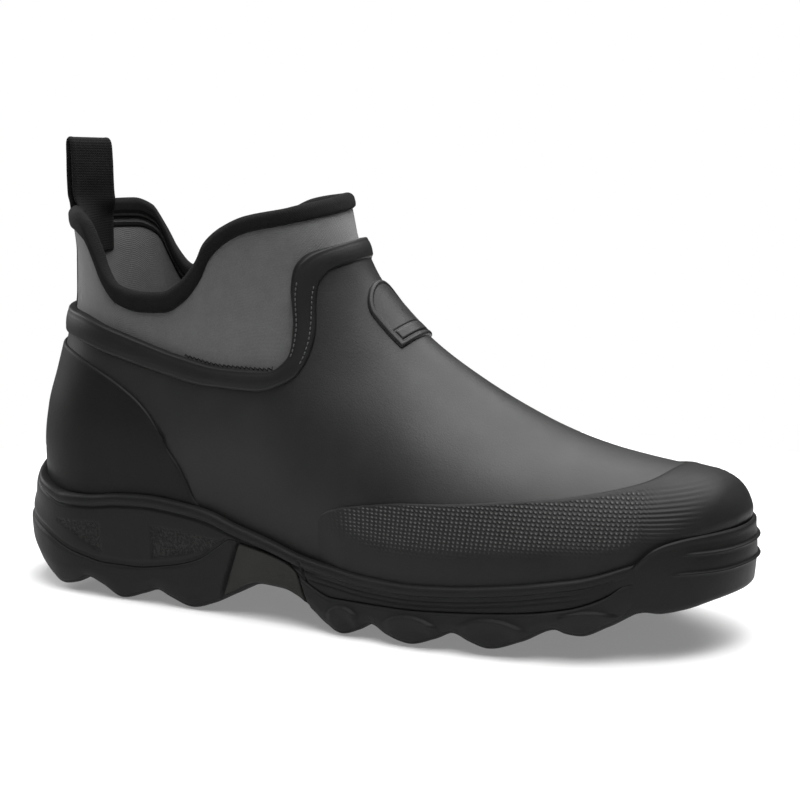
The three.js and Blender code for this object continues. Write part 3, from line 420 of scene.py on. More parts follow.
# Materials
def new_material(name, color, roughness, sheen=0.0, specular=0.5):
    material = bpy.data.materials.new(name)
    material.use_nodes = True
    nodes, links = material.node_tree.nodes, material.node_tree.links
    shader = nodes["Principled BSDF"]
    shader.inputs["Base Color"].default_value = (*color, 1)
    shader.inputs["Roughness"].default_value = roughness
    shader.inputs["Sheen Weight"].default_value = sheen
    shader.inputs["Specular IOR Level"].default_value = specular
    return material, nodes, links, shader


def math_node(nodes, links, operation, first, second=None):
    made = nodes.new("ShaderNodeMath")
    made.operation = operation
    for i, value in enumerate((first, second)):
        if value is None:
            continue
        if isinstance(value, (int, float)):
            made.inputs[i].default_value = value
        else:
            links.new(value, made.inputs[i])
    return made.outputs[0]


def object_noise(nodes, links, scale, detail=2.0, roughness=0.5):
    place = nodes.new("ShaderNodeTexCoord")
    noise = nodes.new("ShaderNodeTexNoise")
    noise.inputs["Scale"].default_value = scale
    noise.inputs["Detail"].default_value = detail
    noise.inputs["Roughness"].default_value = roughness
    links.new(place.outputs["Object"], noise.inputs["Vector"])
    return noise.outputs["Fac"]


def ramp(nodes, links, value, low, high, from_low=0.3, from_high=0.7):
    """Maps a value to a range, for a roughness or a height."""
    made = nodes.new("ShaderNodeMapRange")
    made.inputs["From Min"].default_value = from_low
    made.inputs["From Max"].default_value = from_high
    made.inputs["To Min"].default_value = low
    made.inputs["To Max"].default_value = high
    links.new(value, made.inputs["Value"])
    return made.outputs["Result"]


def mix_colors(nodes, links, value, low, high):
    made = nodes.new("ShaderNodeValToRGB")
    made.color_ramp.elements[0].position = 0.3
    made.color_ramp.elements[1].position = 0.7
    made.color_ramp.elements[0].color = (*low, 1)
    made.color_ramp.elements[1].color = (*high, 1)
    links.new(value, made.inputs["Fac"])
    return made.outputs["Color"]


def blend_colors(nodes, links, share, first, second, shader):
    """first and second are colour outputs; share runs from the first to the second."""
    made = nodes.new("ShaderNodeMix")
    made.data_type = "RGBA"
    links.new(share, made.inputs["Factor"])
    links.new(first, made.inputs["A"])
    links.new(second, made.inputs["B"])
    links.new(made.outputs["Result"], shader.inputs["Base Color"])


def add_bump(nodes, links, shader, height, depth, strength=1.0, after=None):
    """depth is the relief of a full step in the height, in millimetres."""
    bump = nodes.new("ShaderNodeBump")
    bump.inputs["Strength"].default_value = strength
    bump.inputs["Distance"].default_value = depth * MM
    links.new(height, bump.inputs["Height"])
    if after is not None:
        links.new(after, bump.inputs["Normal"])
    links.new(bump.outputs["Normal"], shader.inputs["Normal"])
    return bump.outputs["Normal"]


def rubber(name, color, spread, roughness, grain, grain_depth, specular):
    """Moulded rubber: a fine grain, a slow unevenness, and both in colour and gloss."""
    material, nodes, links, shader = new_material(name, color, roughness, specular=specular)
    fine = object_noise(nodes, links, grain, 3.0, 0.6)
    slow = object_noise(nodes, links, 38.0, 3.0, 0.55)
    low = tuple(c * (1 - spread) for c in color)
    high = tuple(c * (1 + spread) for c in color)
    links.new(mix_colors(nodes, links, slow, low, high), shader.inputs["Base Color"])
    links.new(ramp(nodes, links, slow, roughness - 0.05, roughness + 0.05),
              shader.inputs["Roughness"])
    first = add_bump(nodes, links, shader, slow, 0.5, 0.35)
    add_bump(nodes, links, shader, fine, grain_depth, 0.6, first)
    return material


def add_stipple(material, scale, depth):
    """A coarse grain where the flow's mask has it."""
    nodes, links = material.node_tree.nodes, material.node_tree.links
    shader = nodes["Principled BSDF"]
    spots = object_noise(nodes, links, scale, 1.0, 0.5)
    spots = ramp(nodes, links, spots, 0.0, 1.0, 0.45, 0.60)
    spots = math_node(nodes, links, "MULTIPLY", spots, flow_parts(nodes, links)[2])
    grain = shader.inputs["Normal"].links[0].from_socket
    add_bump(nodes, links, shader, spots, depth, 1.0, grain)
    plain = shader.inputs["Base Color"].links[0].from_socket
    light = mix_colors(nodes, links, spots, (0.008, 0.008, 0.008), (0.017, 0.017, 0.016))
    blend_colors(nodes, links, spots, plain, light, shader)


def dull_low_down(material, low, high, from_low, from_high):
    """Less gloss near the sole than higher up."""
    nodes, links = material.node_tree.nodes, material.node_tree.links
    place = nodes.new("ShaderNodeTexCoord")
    parts = nodes.new("ShaderNodeSeparateXYZ")
    links.new(place.outputs["Object"], parts.inputs[0])
    gloss = ramp(nodes, links, parts.outputs["Z"], low, high, from_low * MM, from_high * MM)
    links.new(gloss, nodes["Principled BSDF"].inputs["Specular IOR Level"])


def flow_parts(nodes, links):
    made = nodes.new("ShaderNodeAttribute")
    made.attribute_name = "flow"
    split = nodes.new("ShaderNodeSeparateXYZ")
    links.new(made.outputs["Vector"], split.inputs[0])
    return split.outputs


def wave(nodes, links, value, pitch, shift=0.0):
    """A sine of a distance, with its pitch in millimetres."""
    turned = math_node(nodes, links, "MULTIPLY", value, 2 * math.pi / pitch)
    if shift:
        turned = math_node(nodes, links, "ADD", turned, shift)
    return math_node(nodes, links, "SINE", turned)


def jersey(name, color, dark, pitch_round, pitch_up, depth, roughness=0.9, sheen=0.25,
           inner=None, specular=0.25):
    """Fine knit: columns of small loops, a little uneven, in another colour where masked: a lighter copy
    painted on as light, for knit that lies in shade.
    """
    material, nodes, links, shader = new_material(name, color, roughness, sheen=sheen,
                                                  specular=specular)
    shader.inputs["Sheen Roughness"].default_value = 0.6
    flow = flow_parts(nodes, links)
    columns = wave(nodes, links, flow[0], pitch_round)
    loops = wave(nodes, links, flow[1], pitch_up)
    knit = math_node(nodes, links, "MULTIPLY", columns, loops)
    fuzz = object_noise(nodes, links, 1500.0, 2.0, 0.6)
    cloud = object_noise(nodes, links, 130.0, 4.0, 0.65)
    mixed = math_node(nodes, links, "ADD", math_node(nodes, links, "MULTIPLY", knit, 0.10),
                      math_node(nodes, links, "MULTIPLY", fuzz, 0.45))
    mixed = math_node(nodes, links, "ADD", mixed, math_node(nodes, links, "MULTIPLY", cloud, 0.5))
    outer_color = mix_colors(nodes, links, mixed, dark, color)
    if inner is None:
        links.new(outer_color, shader.inputs["Base Color"])
    else:
        blend_colors(nodes, links, flow[2], outer_color, mix_colors(nodes, links, mixed, *inner),
                     shader)
    height = math_node(nodes, links, "ADD", math_node(nodes, links, "MULTIPLY", knit, 0.5), fuzz)
    add_bump(nodes, links, shader, height, depth)
    return material


DOT_ROUND = 1.7
DOT_UP = 2.76
DOT_DEPTH = 0.30


def knurl_dots_with_painted_light(material):
    """Adds fine staggered dots to a rubber, where the flow's mask has them, with their tops painted
    lighter as a painted highlight and the hollows between left dark as painted shade.
    """
    nodes, links = material.node_tree.nodes, material.node_tree.links
    shader = nodes["Principled BSDF"]
    flow = flow_parts(nodes, links)
    dots = math_node(nodes, links, "MULTIPLY", wave(nodes, links, flow[0], DOT_ROUND),
                     wave(nodes, links, flow[1], DOT_UP))
    rows = wave(nodes, links, flow[1], DOT_UP / 2, -math.pi / 2)
    dots = math_node(nodes, links, "ADD", math_node(nodes, links, "MULTIPLY", dots, 0.6),
                     math_node(nodes, links, "MULTIPLY", rows, 0.4))
    dots = math_node(nodes, links, "MULTIPLY", dots, flow[2])
    grain = shader.inputs["Normal"].links[0].from_socket
    add_bump(nodes, links, shader, dots, DOT_DEPTH, 1.0, grain)
    # The rear end keeps the shell's colour
    plain = shader.inputs["Base Color"].links[0].from_socket
    rear = ramp(nodes, links, flow[0], 0.0, 1.0, 2.0, 32.0)
    slow = object_noise(nodes, links, 38.0, 3.0, 0.55)
    shell = mix_colors(nodes, links, slow, SHELL_LOW, SHELL_HIGH)
    blend_colors(nodes, links, rear, shell, plain, shader)
    # Painted light: the dot tops are painted lighter, as a painted highlight, and the hollows between
    # them stay dark, as painted shade.
    plain = shader.inputs["Base Color"].links[0].from_socket
    share = ramp(nodes, links, dots, 0.0, 1.0, -0.05, 1.0)
    tops = mix_colors(nodes, links, share, (0.010, 0.010, 0.010), (0.095, 0.094, 0.092))
    blend_colors(nodes, links, share, plain, tops, shader)


SHELL_LOW = (0.0126, 0.0126, 0.0126)
SHELL_HIGH = (0.0154, 0.0154, 0.0154)
SHELL = rubber("shell_rubber", (0.014, 0.014, 0.014), 0.10, 0.49, 1400.0, 0.10, specular=0.38)
BAND = rubber("band_rubber", (0.009, 0.009, 0.009), 0.10, 0.55, 1400.0, 0.10, specular=0.28)
COUNTER = rubber("counter_rubber", (0.007, 0.007, 0.007), 0.12, 0.58, 1300.0, 0.08, specular=0.18)
GUARD = rubber("guard_rubber", (0.004, 0.004, 0.004), 0.12, 0.51, 1400.0, 0.10, specular=0.17)
SOLE = rubber("sole_rubber", (0.008, 0.008, 0.008), 0.15, 0.56, 1100.0, 0.12, specular=0.17)
TREAD_RUBBER = rubber("tread_rubber", (0.008, 0.008, 0.008), 0.15, 0.60, 900.0, 0.15, specular=0.18)
INLAY_RUBBER = rubber("inlay_rubber", (0.020, 0.020, 0.0185), 0.2, 0.70, 700.0, 0.35, specular=0.20)
dull_low_down(SHELL, 0.19, 0.38, 30.0, 70.0)
knurl_dots_with_painted_light(GUARD)
add_stipple(SOLE, 900.0, 0.25)
# The lining gets a lighter copy of the knit's colour, painted light against the shade inside the boot.
KNIT = jersey("knit", (0.125, 0.125, 0.126), (0.085, 0.085, 0.086), 1.1, 0.8, 0.16,
              inner=((0.10, 0.10, 0.10), (0.15, 0.15, 0.15)))
TAPE = jersey("binding_tape", (0.006, 0.006, 0.006), (0.003, 0.003, 0.003), 0.9, 0.7, 0.14, 0.85, 0.02,
              specular=0.13)
WEBBING = jersey("webbing", (0.008, 0.008, 0.008), (0.003, 0.003, 0.003), 0.9, 1.0, 0.12, 0.85, 0.02,
                 specular=0.16)
FELT = jersey("felt", (0.030, 0.030, 0.031), (0.018, 0.018, 0.019), 1.6, 1.6, 0.2, 0.95, 0.1)
THREAD = jersey("thread", (0.085, 0.085, 0.088), (0.05, 0.05, 0.052), 0.5, 0.5, 0.1, 0.7, 0.1)


# Upper
def upper_rows(turns):
    share = (1 - np.cos(turns)) / 2
    floor = meet(turns, floor_at) + CLEARANCE
    rim = meet(turns, rim_at)
    band_low = COLLAR_HEIGHT * band_low_share(share)
    band_top = COLLAR_HEIGHT * band_top_share(share)
    edge = COLLAR_HEIGHT * topline_share(share) - BINDING_WALL
    return floor, rim, band_low, band_top, edge


def make_upper():
    turns = closed_ring(240)
    floor, *_, edge = upper_rows(turns)
    steps = np.linspace(0, 1, 46)
    outside = [(floor + (edge - floor) * t, LINING_OUT) for t in steps]
    inside = [(floor + (edge - floor) * t, LINING_IN) for t in steps[::-1]]
    points = profile_skin(turns, outside + inside)
    flow = skin_flow(points)
    # The mask marks the lining, whose knit is painted lighter as painted light against the shade inside
    # the boot.
    flow[..., 2] = (np.arange(len(points)) >= len(outside))[:, None]
    add_grid("inner_boot", points, KNIT, ["upper"], flow, wrap_rows=True,
             wrap_columns=True)


# Soft hollows and swells of the shell: place round and up, reach, depth.
CREASES = {
    "along": [0.52, 0.585, 0.50, 0.40, 0.66, 0.33],
    "up": [0.60, 0.50, 0.44, 0.50, 0.40, 0.40],
    "long": [0.030, 0.035, 0.050, 0.045, 0.045, 0.040],
    "tall": [0.060, 0.050, 0.055, 0.080, 0.040, 0.070],
    "deep": [-0.45, 0.35, -0.35, 0.30, -0.25, -0.25],
}


def crease_at(x, z):
    total = np.zeros_like(x)
    for along, up, long, tall, deep in zip(*CREASES.values()):
        dx = (x / SOLE_LENGTH - along) / long
        dz = (z / COLLAR_HEIGHT - up) / tall
        total += deep * np.exp(-(dx * dx + dz * dz) / 2)
    return total


def make_shell():
    turns = closed_ring(300)
    floor, rim, band_low = upper_rows(turns)[:3]
    top = band_low + 1.5
    steps = np.concatenate([np.linspace(0, 0.2, 14, endpoint=False), np.linspace(0.2, 1, 60)])
    outside = []
    for t in steps:
        z = floor + (top - floor) * t
        x = surface(turns, z)[:, 0]
        fade = smooth((z - rim) / 8) * smooth((top - z) / 10)
        outside.append((z, crease_at(x, z) * fade))
    inside = [(floor + (top - floor) * t, -SHELL_WALL) for t in np.linspace(1, 0, 24)]
    points = profile_skin(turns, outside + inside)
    add_grid("shell", points, SHELL, ["rubber_shell"], skin_flow(points),
             wrap_rows=True, wrap_columns=True)


# Band round the shell's top: across from its top edge (0) to its low edge (1), in bands proud.
BAND_SECTION = {
    "across": [0.00, 0.03, 0.09, 0.20, 0.32, 0.50, 0.66, 0.78, 0.90, 0.97, 1.00],
    "proud": [-0.9, 0.30, 0.70, 0.78, 0.92, 1.00, 0.96, 0.86, 0.74, 0.40, 0.00],
}
STITCH_PITCH = 1.9
STITCH_LENGTH = 1.35
STITCH_THICK = 0.5
# Each row: its place across the band, and where it starts and ends round the collar
STITCH_ROWS = ((0.20, 0.690, 0.860), (0.79, 0.700, 0.885))
ZIGZAG_FROM, ZIGZAG_TO = 0.40, 0.63
ZIGZAG_PITCH = 1.9
ZIGZAG_LOW, ZIGZAG_HIGH = 0.15, 1.25
ZIGZAG_THICK = 0.35
THREAD_LIFT = 0.12


def make_band():
    turns = closed_ring(360, height=110.0)
    band_low, band_top = upper_rows(turns)[2:4]
    section = curve(BAND_SECTION, "across", "proud")
    rows = [(band_top, -SHELL_WALL)]
    for t in np.linspace(0, 1, 34):
        rows.append((band_top + (band_low - band_top) * t, BAND_PROUD * section(t)))
    rows.append((band_low, -SHELL_WALL))
    points = profile_skin(turns, rows)
    add_grid("band", points, BAND, ["shell_band"], skin_flow(points),
             wrap_rows=True, wrap_columns=True)
    stitches, zigzag = [], []
    share = (1 - np.cos(turns)) / 2
    for t, first, last in STITCH_ROWS:
        z = band_top + (band_low - band_top) * t
        line = off_surface(turns, z, BAND_PROUD * section(t) + THREAD_LIFT)
        for span in spans(turns, share, first, last):
            stitches += stitch_line(line[span], normal_at(turns, z)[span], STITCH_PITCH, STITCH_LENGTH)
    add_stitches("band_stitches", stitches, STITCH_THICK)
    low, high = band_top + ZIGZAG_LOW, band_top + ZIGZAG_HIGH
    for span in spans(turns, share, ZIGZAG_FROM, ZIGZAG_TO):
        ends = [off_surface(turns[span], z[span], LINING_OUT + 0.15) for z in (low, high)]
        run = lengths(ends[0], 0)
        places = np.arange(0, run[-1], ZIGZAG_PITCH / 2)
        corners = [[np.interp(places, run, end[:, i]) for i in range(3)] for end in ends]
        corners = np.moveaxis(np.array(corners), 1, -1)
        normals = normal_at(turns[span], low[span])
        for k in range(len(places) - 1):
            a, b = corners[k % 2][k], corners[(k + 1) % 2][k + 1]
            normal = np.array([np.interp(places[k], run, normals[:, i]) for i in range(3)])
            zigzag.append(((a + b) / 2, (b - a) / 2, normal))
    add_stitches("band_zigzag", zigzag, ZIGZAG_THICK, TAPE)


def spans(turns, share, first, last):
    """The runs of turns on both sides whose share lies between two values."""
    inside = (share > first) & (share < last)
    return [inside & (turns < math.pi), inside & (turns >= math.pi)]


def stitch_line(line, normals, pitch, length):
    """(middle, half, normal) of each stitch along a line."""
    run = lengths(line, 0)
    count = int(run[-1] / pitch)
    made = []
    for k in range(count):
        middle = (k + 0.5) * run[-1] / count
        ends = [np.array([np.interp(middle + s * length / 2, run, line[:, i]) for i in range(3)])
                for s in (-1, 1)]
        normal = np.array([np.interp(middle, run, normals[:, i]) for i in range(3)])
        made.append(((ends[0] + ends[1]) / 2, (ends[1] - ends[0]) / 2, normal))
    return made


def add_stitches(name, stitches, thick, material=None):
    """Short threads with round ends, sunk a little at both."""
    rings = [(-1.0, 0.25, -0.35), (-0.75, 0.75, 0.0), (0.0, 1.0, 0.18), (0.75, 0.75, 0.0),
             (1.0, 0.25, -0.35)]
    sides = 6
    points, faces = [], []
    for middle, half, normal in stitches:
        along = half / np.linalg.norm(half)
        across = np.cross(along, normal)
        across /= np.linalg.norm(across)
        up = np.cross(across, along)
        start = len(points)
        for place, size, lift in rings:
            for k in range(sides):
                angle = 2 * math.pi * k / sides
                points.append(middle + half * place + up * lift * thick
                              + (across * math.cos(angle) + up * math.sin(angle)) * thick / 2 * size)
        body = grid_faces(len(rings), sides, wrap_columns=True) + start
        faces += body.tolist()
        faces.append([start + k for k in range(sides)][::-1])
        faces.append([start + (len(rings) - 1) * sides + k for k in range(sides)])
    add_mesh(name, np.array(points), faces, material or THREAD)


# Overlays on the shell: from the sole's rim up to a line that is given along the boot
COUNTER_END = 0.314
GUARD_ROUND, COUNTER_ROUND = 1.3, 1.2


def overlay_foot(turns):
    """Height at which an overlay starts, behind the sole's rim."""
    return meet(turns, rim_at) + 2 * CLEARANCE - 1.0


def turn_at_rim(share, low, high):
    """The turn at which the rim's line passes a share of the sole's length."""
    fine = np.linspace(low, high, 4000)
    xs = surface(fine, meet(fine, rim_at))[:, 0] / SOLE_LENGTH
    return fine[np.argmax(xs > share)]


def overlay_top(turns, low, high, edge_at, first, last):
    """Height on each rib where it meets the overlay's edge line."""
    t = np.linspace(0, 1, 500)[:, None]
    z = low + (high - low) * t
    x = surface(turns[None, :] + 0 * z, z)[..., 0] / SOLE_LENGTH
    line = COLLAR_HEIGHT * edge_at(np.clip(x, first, last))
    line = np.where(x < first, -1e3, line)
    above = z - line
    tops = np.empty(len(turns))
    for i in range(len(turns)):
        hit = np.argmax(above[:, i] > 0)
        if above[0, i] > 0:
            tops[i] = z[0, i]
        elif hit == 0:
            tops[i] = z[-1, i]
        else:
            a, b = above[hit - 1, i], above[hit, i]
            tops[i] = z[hit - 1, i] + (z[hit, i] - z[hit - 1, i]) * -a / (b - a)
    return tops


def rounded(distance, radius):
    """Share of the full wall at a distance from a rounded edge."""
    t = np.clip(distance / radius, 0, 1)
    return np.sqrt(np.maximum(1 - (1 - t) ** 2, 0))


def overlay_points(turns, low, top, wall, row_count, edge_round, relief=None, feet=None):
    """An overlay with a rounded top edge, and its flow. Its columns may lean, up from feet."""
    height = np.maximum(top - low, 0)

    def skin(rows):
        if feet is None:
            return profile_skin(turns, rows)
        made = []
        for z, out in rows:
            rise = np.clip((z - low) / np.maximum(height, 1e-3), 0, 1)
            made.append(off_surface(feet + (turns - feet) * rise, z, out))
        return np.stack(made)

    near = np.array([0, 0.05, 0.15, 0.3, 0.5, 0.75, 1.0]) * edge_round
    rows, uppers = [], []
    for t in np.linspace(0, 1, row_count)[:-1]:
        z = low + np.maximum(height - edge_round, height * 0.5) * t
        rows.append(z)
    for d in near[::-1]:
        rows.append(low + np.maximum(height - np.minimum(d, height * 0.5), 0))
    for z in rows:
        reach = np.minimum(rounded(top - z, edge_round), rounded(height, 2 * edge_round))
        out = CLEARANCE * 0.3 + (wall + CLEARANCE * 0.7) * reach
        uppers.append((z, out))
    plain = skin(uppers)
    flow = skin_flow(plain)
    if relief is not None:
        lifted = []
        for k, (z, out) in enumerate(uppers):
            lifted.append((z, out + relief(plain[k], flow[k], z, top, low)))
        plain = skin(lifted)
    under = [(low + height * t, -0.4) for t in np.linspace(1, 0, 16)]
    points = np.concatenate([plain, skin(under)])
    full_flow = np.concatenate([flow, np.repeat(flow[-1:], len(under), axis=0)])
    return points, full_flow


# Relief of the toe guard: fine staggered dots, which join into lines near the toe. The dots
# are in the material; the lines, and a slow ripple under the dots, are cut here.
RIPPLE_ROUND = 5.6
RIPPLE_DEPTH = 0.05
LINE_DEPTH = 0.13
REAR_THIN = 16
TOE_FULL = 2.3
guard_start = GUARD_EDGE["along"][0] * SOLE_LENGTH


def knurl_mask(points, z, top, low):
    """Where the relief shows: (share of dots, share of lines)."""
    x = points[..., 0] / SOLE_LENGTH
    height = np.maximum(top - low, 1e-3)
    start = smooth((x - 0.492) / 0.05)
    rest = height * (0.30 - 0.12 * smooth((x - 0.80) / 0.10) + 0.24 * (1 - smooth((x - 0.49) / 0.11)))
    foot = smooth((z - low - rest) / (0.28 * height))
    head = smooth((top - z - 0.3) / 0.6)
    ends = 1 - smooth((x - 0.925) / 0.040)
    crown = 1 - smooth((z / COLLAR_HEIGHT - 0.372) / 0.03) * smooth((x - 0.875) / 0.03)
    both = start * foot * head * ends * crown
    to_lines = smooth((x - 0.882) / 0.04)
    return both * (1 - to_lines), both * to_lines


def knurl(points, flow, z, top, low):
    dots, lines = knurl_mask(points, z, top, low)
    x = points[:, 0] / SOLE_LENGTH
    row = np.cos(4 * math.pi * z / DOT_UP)
    relief = RIPPLE_DEPTH * dots * row * np.cos(2 * math.pi * flow[:, 0] / RIPPLE_ROUND)
    relief = relief + LINE_DEPTH * lines * row
    height = np.maximum(top - low, 1e-3)
    thin = (GUARD_WALL + 0.5) * (1 - smooth((points[:, 0] - guard_start) / REAR_THIN))
    full = TOE_FULL * smooth((x - 0.905) / 0.06) * smooth((z - low) / 8)
    return relief - thin * smooth(height / 3) + full


def make_guard():
    first = GUARD_EDGE["along"][0]
    start = turn_at_rim(first, 0.05, math.pi)
    turns = even_turns(620, start, 2 * math.pi - start, height=36.0)
    low = overlay_foot(turns)
    high = upper_rows(turns)[2]
    top = np.maximum(overlay_top(turns, low, high, guard_edge, first, GUARD_EDGE["along"][-1]), low)
    points, flow = overlay_points(turns, low, top, GUARD_WALL, 132, GUARD_ROUND, knurl)
    # Its dots are counted from both rear ends, where the colour fades into the shell's
    run = flow[..., 0].copy()
    flow[..., 0] = np.minimum(run, run[:, -1:] - run)
    flow[..., 1] = points[..., 2]
    # This mask carries the dots, and the painted highlight on their tops, into the material.
    flow[..., 2] = knurl_mask(points, points[..., 2], top, low)[0]
    add_grid("guard", points, GUARD, ["toe_guard"], flow, wrap_rows=True, caps=True)


def make_counter():
    reach = turn_at_rim(COUNTER_END, 0.01, math.pi - 0.05)
    # The edge as a path of turns and heights, from the back's middle to the waist
    x = SOLE_LENGTH * np.linspace(0, COUNTER_END, 1500)
    z = COLLAR_HEIGHT * counter_edge(x / SOLE_LENGTH)
    share = (x - back_at(z)) / (front_at(z) - back_at(z))
    seen = share > 0
    turn = np.concatenate([[0], np.arccos(1 - 2 * share[seen])])
    z = np.concatenate([[z[seen][0]], z[seen]])
    run = lengths(surface(turn, z), 0)
    even = np.linspace(0, run[-1], 230)
    turn, z = np.interp(even, run, turn), np.interp(even, run, z)
    turns = np.concatenate([-turn[::-1], turn[1:]])
    feet = even_turns(len(turns), -reach, reach, height=45.0)
    low = overlay_foot(feet)
    top = np.maximum(np.concatenate([z[::-1], z[1:]]), low)
    points, flow = overlay_points(turns, low, top, COUNTER_WALL, 50, COUNTER_ROUND, feet=feet)
    add_grid("counter", points, COUNTER, ["heel_counter"], flow, wrap_rows=True,
             caps=True)


# Collar binding: a folded tape, with a thin bead along its inner edge
BINDING_LOW = {"round": [0, 0.10, 0.28, 0.50, 0.70, 1.0], "wide": [5.6, 6.0, 6.2, 5.4, 4.6, 4.3]}
binding_wide = curve(BINDING_LOW, "round", "wide")
TAPE_ROLL = 0.8
FOLD_DROP = 1.1
BEAD_PROUD = 1.0


def binding_width(turns):
    return binding_wide((1 - np.cos(turns)) / 2)


def make_binding():
    turns = closed_ring(300, height=140.0)
    edge = upper_rows(turns)[4]
    middle = (LINING_OUT + LINING_IN) / 2
    half = (LINING_OUT - LINING_IN) / 2
    wall = BINDING_WALL
    width = binding_width(turns)
    low = edge - width

    def flat(t):
        """Height on the tape's flat, and its wall there, which swells in the middle."""
        return low + (width - 2) * t + TAPE_ROLL, wall * (0.85 + 0.13 * math.sin(math.pi * t))

    rows = [(low, LINING_OUT - 0.1)]
    for t in (0.0, 0.35, 0.7, 1.0):
        out = LINING_OUT + wall * (0.25 + 0.6 * math.sin(t * math.pi / 2))
        rows.append((low + TAPE_ROLL * t, out))
    for t in (0.25, 0.5, 0.75):
        z, thick = flat(t)
        rows.append((z, LINING_OUT + thick))
    for k in range(13):
        angle = math.pi * k / 12
        out = middle + (half + wall * 0.92) * math.cos(angle)
        rows.append((edge - FOLD_DROP + (wall + FOLD_DROP) * math.sin(angle), out))
    for t in (0.75, 0.5, 0.25):
        z, thick = flat(t)
        rows.append((z, LINING_IN - thick))
    for k in range(9):
        angle = math.pi * k / 8
        out = LINING_IN - wall * 0.35 - BEAD_PROUD * math.sin(angle)
        rows.append((low + TAPE_ROLL * math.cos(angle), out))
    rows.append((low - TAPE_ROLL, LINING_IN + 0.1))
    points = profile_skin(turns, rows)
    add_grid("binding", points, TAPE, ["collar_binding"], skin_flow(points),
             wrap_rows=True, wrap_columns=True)


# A narrow tape inside the collar, a little below the binding
TAPE_GAP = 1.3
TAPE_WIDTH = 2.0
TAPE_PROUD = 0.75


def make_inner_tape():
    turns = closed_ring(240, height=140.0)
    low = upper_rows(turns)[4] - binding_width(turns) - 1.2
    rows = []
    for k in range(9):
        angle = math.pi * k / 8
        z = low - TAPE_GAP - TAPE_WIDTH / 2 + TAPE_WIDTH / 2 * math.cos(angle)
        rows.append((z, LINING_IN + 0.2 - TAPE_PROUD * math.sin(angle)))
    points = profile_skin(turns, rows)
    add_grid("inner_tape", points, TAPE, (), skin_flow(points), wrap_rows=True,
             wrap_columns=True)


# Pull loop: ribbed webbing, sewn down outside under the binding and inside over it
LOOP_YAW = math.radians(21)
LOOP_ROLL = 2.1
WEB_RIB = 1.0
WEB_RIB_DEPTH = 0.07
WEB_WALL = 1.35
LOOP_AXIS = 5.4
# The strap above the collar's edge: forward of the back, above the edge, cup
LOOP_UP = ((3.4, 1.5, 0.8), (3.6, 5, 0.3), (3.6, 12, 0), (3.6, 19, 0))
LOOP_DOWN = ((6.9, 19, 0), (7.2, 12, 0), (6.9, 6, 0.5), (7.2, 1.0, 1.0))
# Its turn: forward of the back, below the top. Its inner leg: forward, below the edge
LOOP_TURN = ((3.8, 1.6), (4.8, 0.5), (6.0, 1.6))
LOOP_INNER = ((6.9, 4), (6.2, 8), (5.5, 12.5), (5.3, LOOP_INSIDE))


def loop_route():
    """(x, z, cup) along the strap, from the band up the outside, over and down the inside."""
    edge = COLLAR_HEIGHT * TOPLINE["up"][0] - BINDING_WALL
    band_top = COLLAR_HEIGHT * BAND_TOP["up"][0]
    route = []
    for z in np.linspace(band_top - 2, edge - 3, 7):
        route.append((float(back_at(z)) - LINING_OUT - 0.45, z, OUTSIDE_CUP))
    back = float(back_at(edge))
    top = edge + LOOP_RISE + BINDING_WALL
    route += [(back + out, edge + up, bend) for out, up, bend in LOOP_UP]
    route += [(back + out, top - down, 0) for out, down in LOOP_TURN]
    route += [(back + out, edge + up, bend) for out, up, bend in LOOP_DOWN]
    for out, down in LOOP_INNER:
        z = edge - down
        route.append((float(back_at(z)) + out, z, INSIDE_CUP))
    return route


def centripetal(points, samples):
    """A smooth line through points that keeps tight turns tidy."""
    points = np.array(points, float)
    ends = np.vstack([2 * points[0] - points[1], points, 2 * points[-1] - points[-2]])
    made = []
    for i in range(1, len(ends) - 2):
        p = ends[i - 1:i + 3]
        gaps = np.sqrt(np.linalg.norm(np.diff(p[:, :2], axis=0), axis=1))
        knots = np.concatenate([[0], np.cumsum(gaps)])
        t = np.linspace(knots[1], knots[2], samples, endpoint=False)[:, None]
        a = [p[k] * (knots[k + 1] - t) / (knots[k + 1] - knots[k])
             + p[k + 1] * (t - knots[k]) / (knots[k + 1] - knots[k]) for k in range(3)]
        b = [a[k] * (knots[k + 2] - t) / (knots[k + 2] - knots[k])
             + a[k + 1] * (t - knots[k]) / (knots[k + 2] - knots[k]) for k in range(2)]
        made.append(b[0] * (knots[2] - t) / (knots[2] - knots[1])
                    + b[1] * (t - knots[1]) / (knots[2] - knots[1]))
    return np.vstack([*made, points[-1:]])


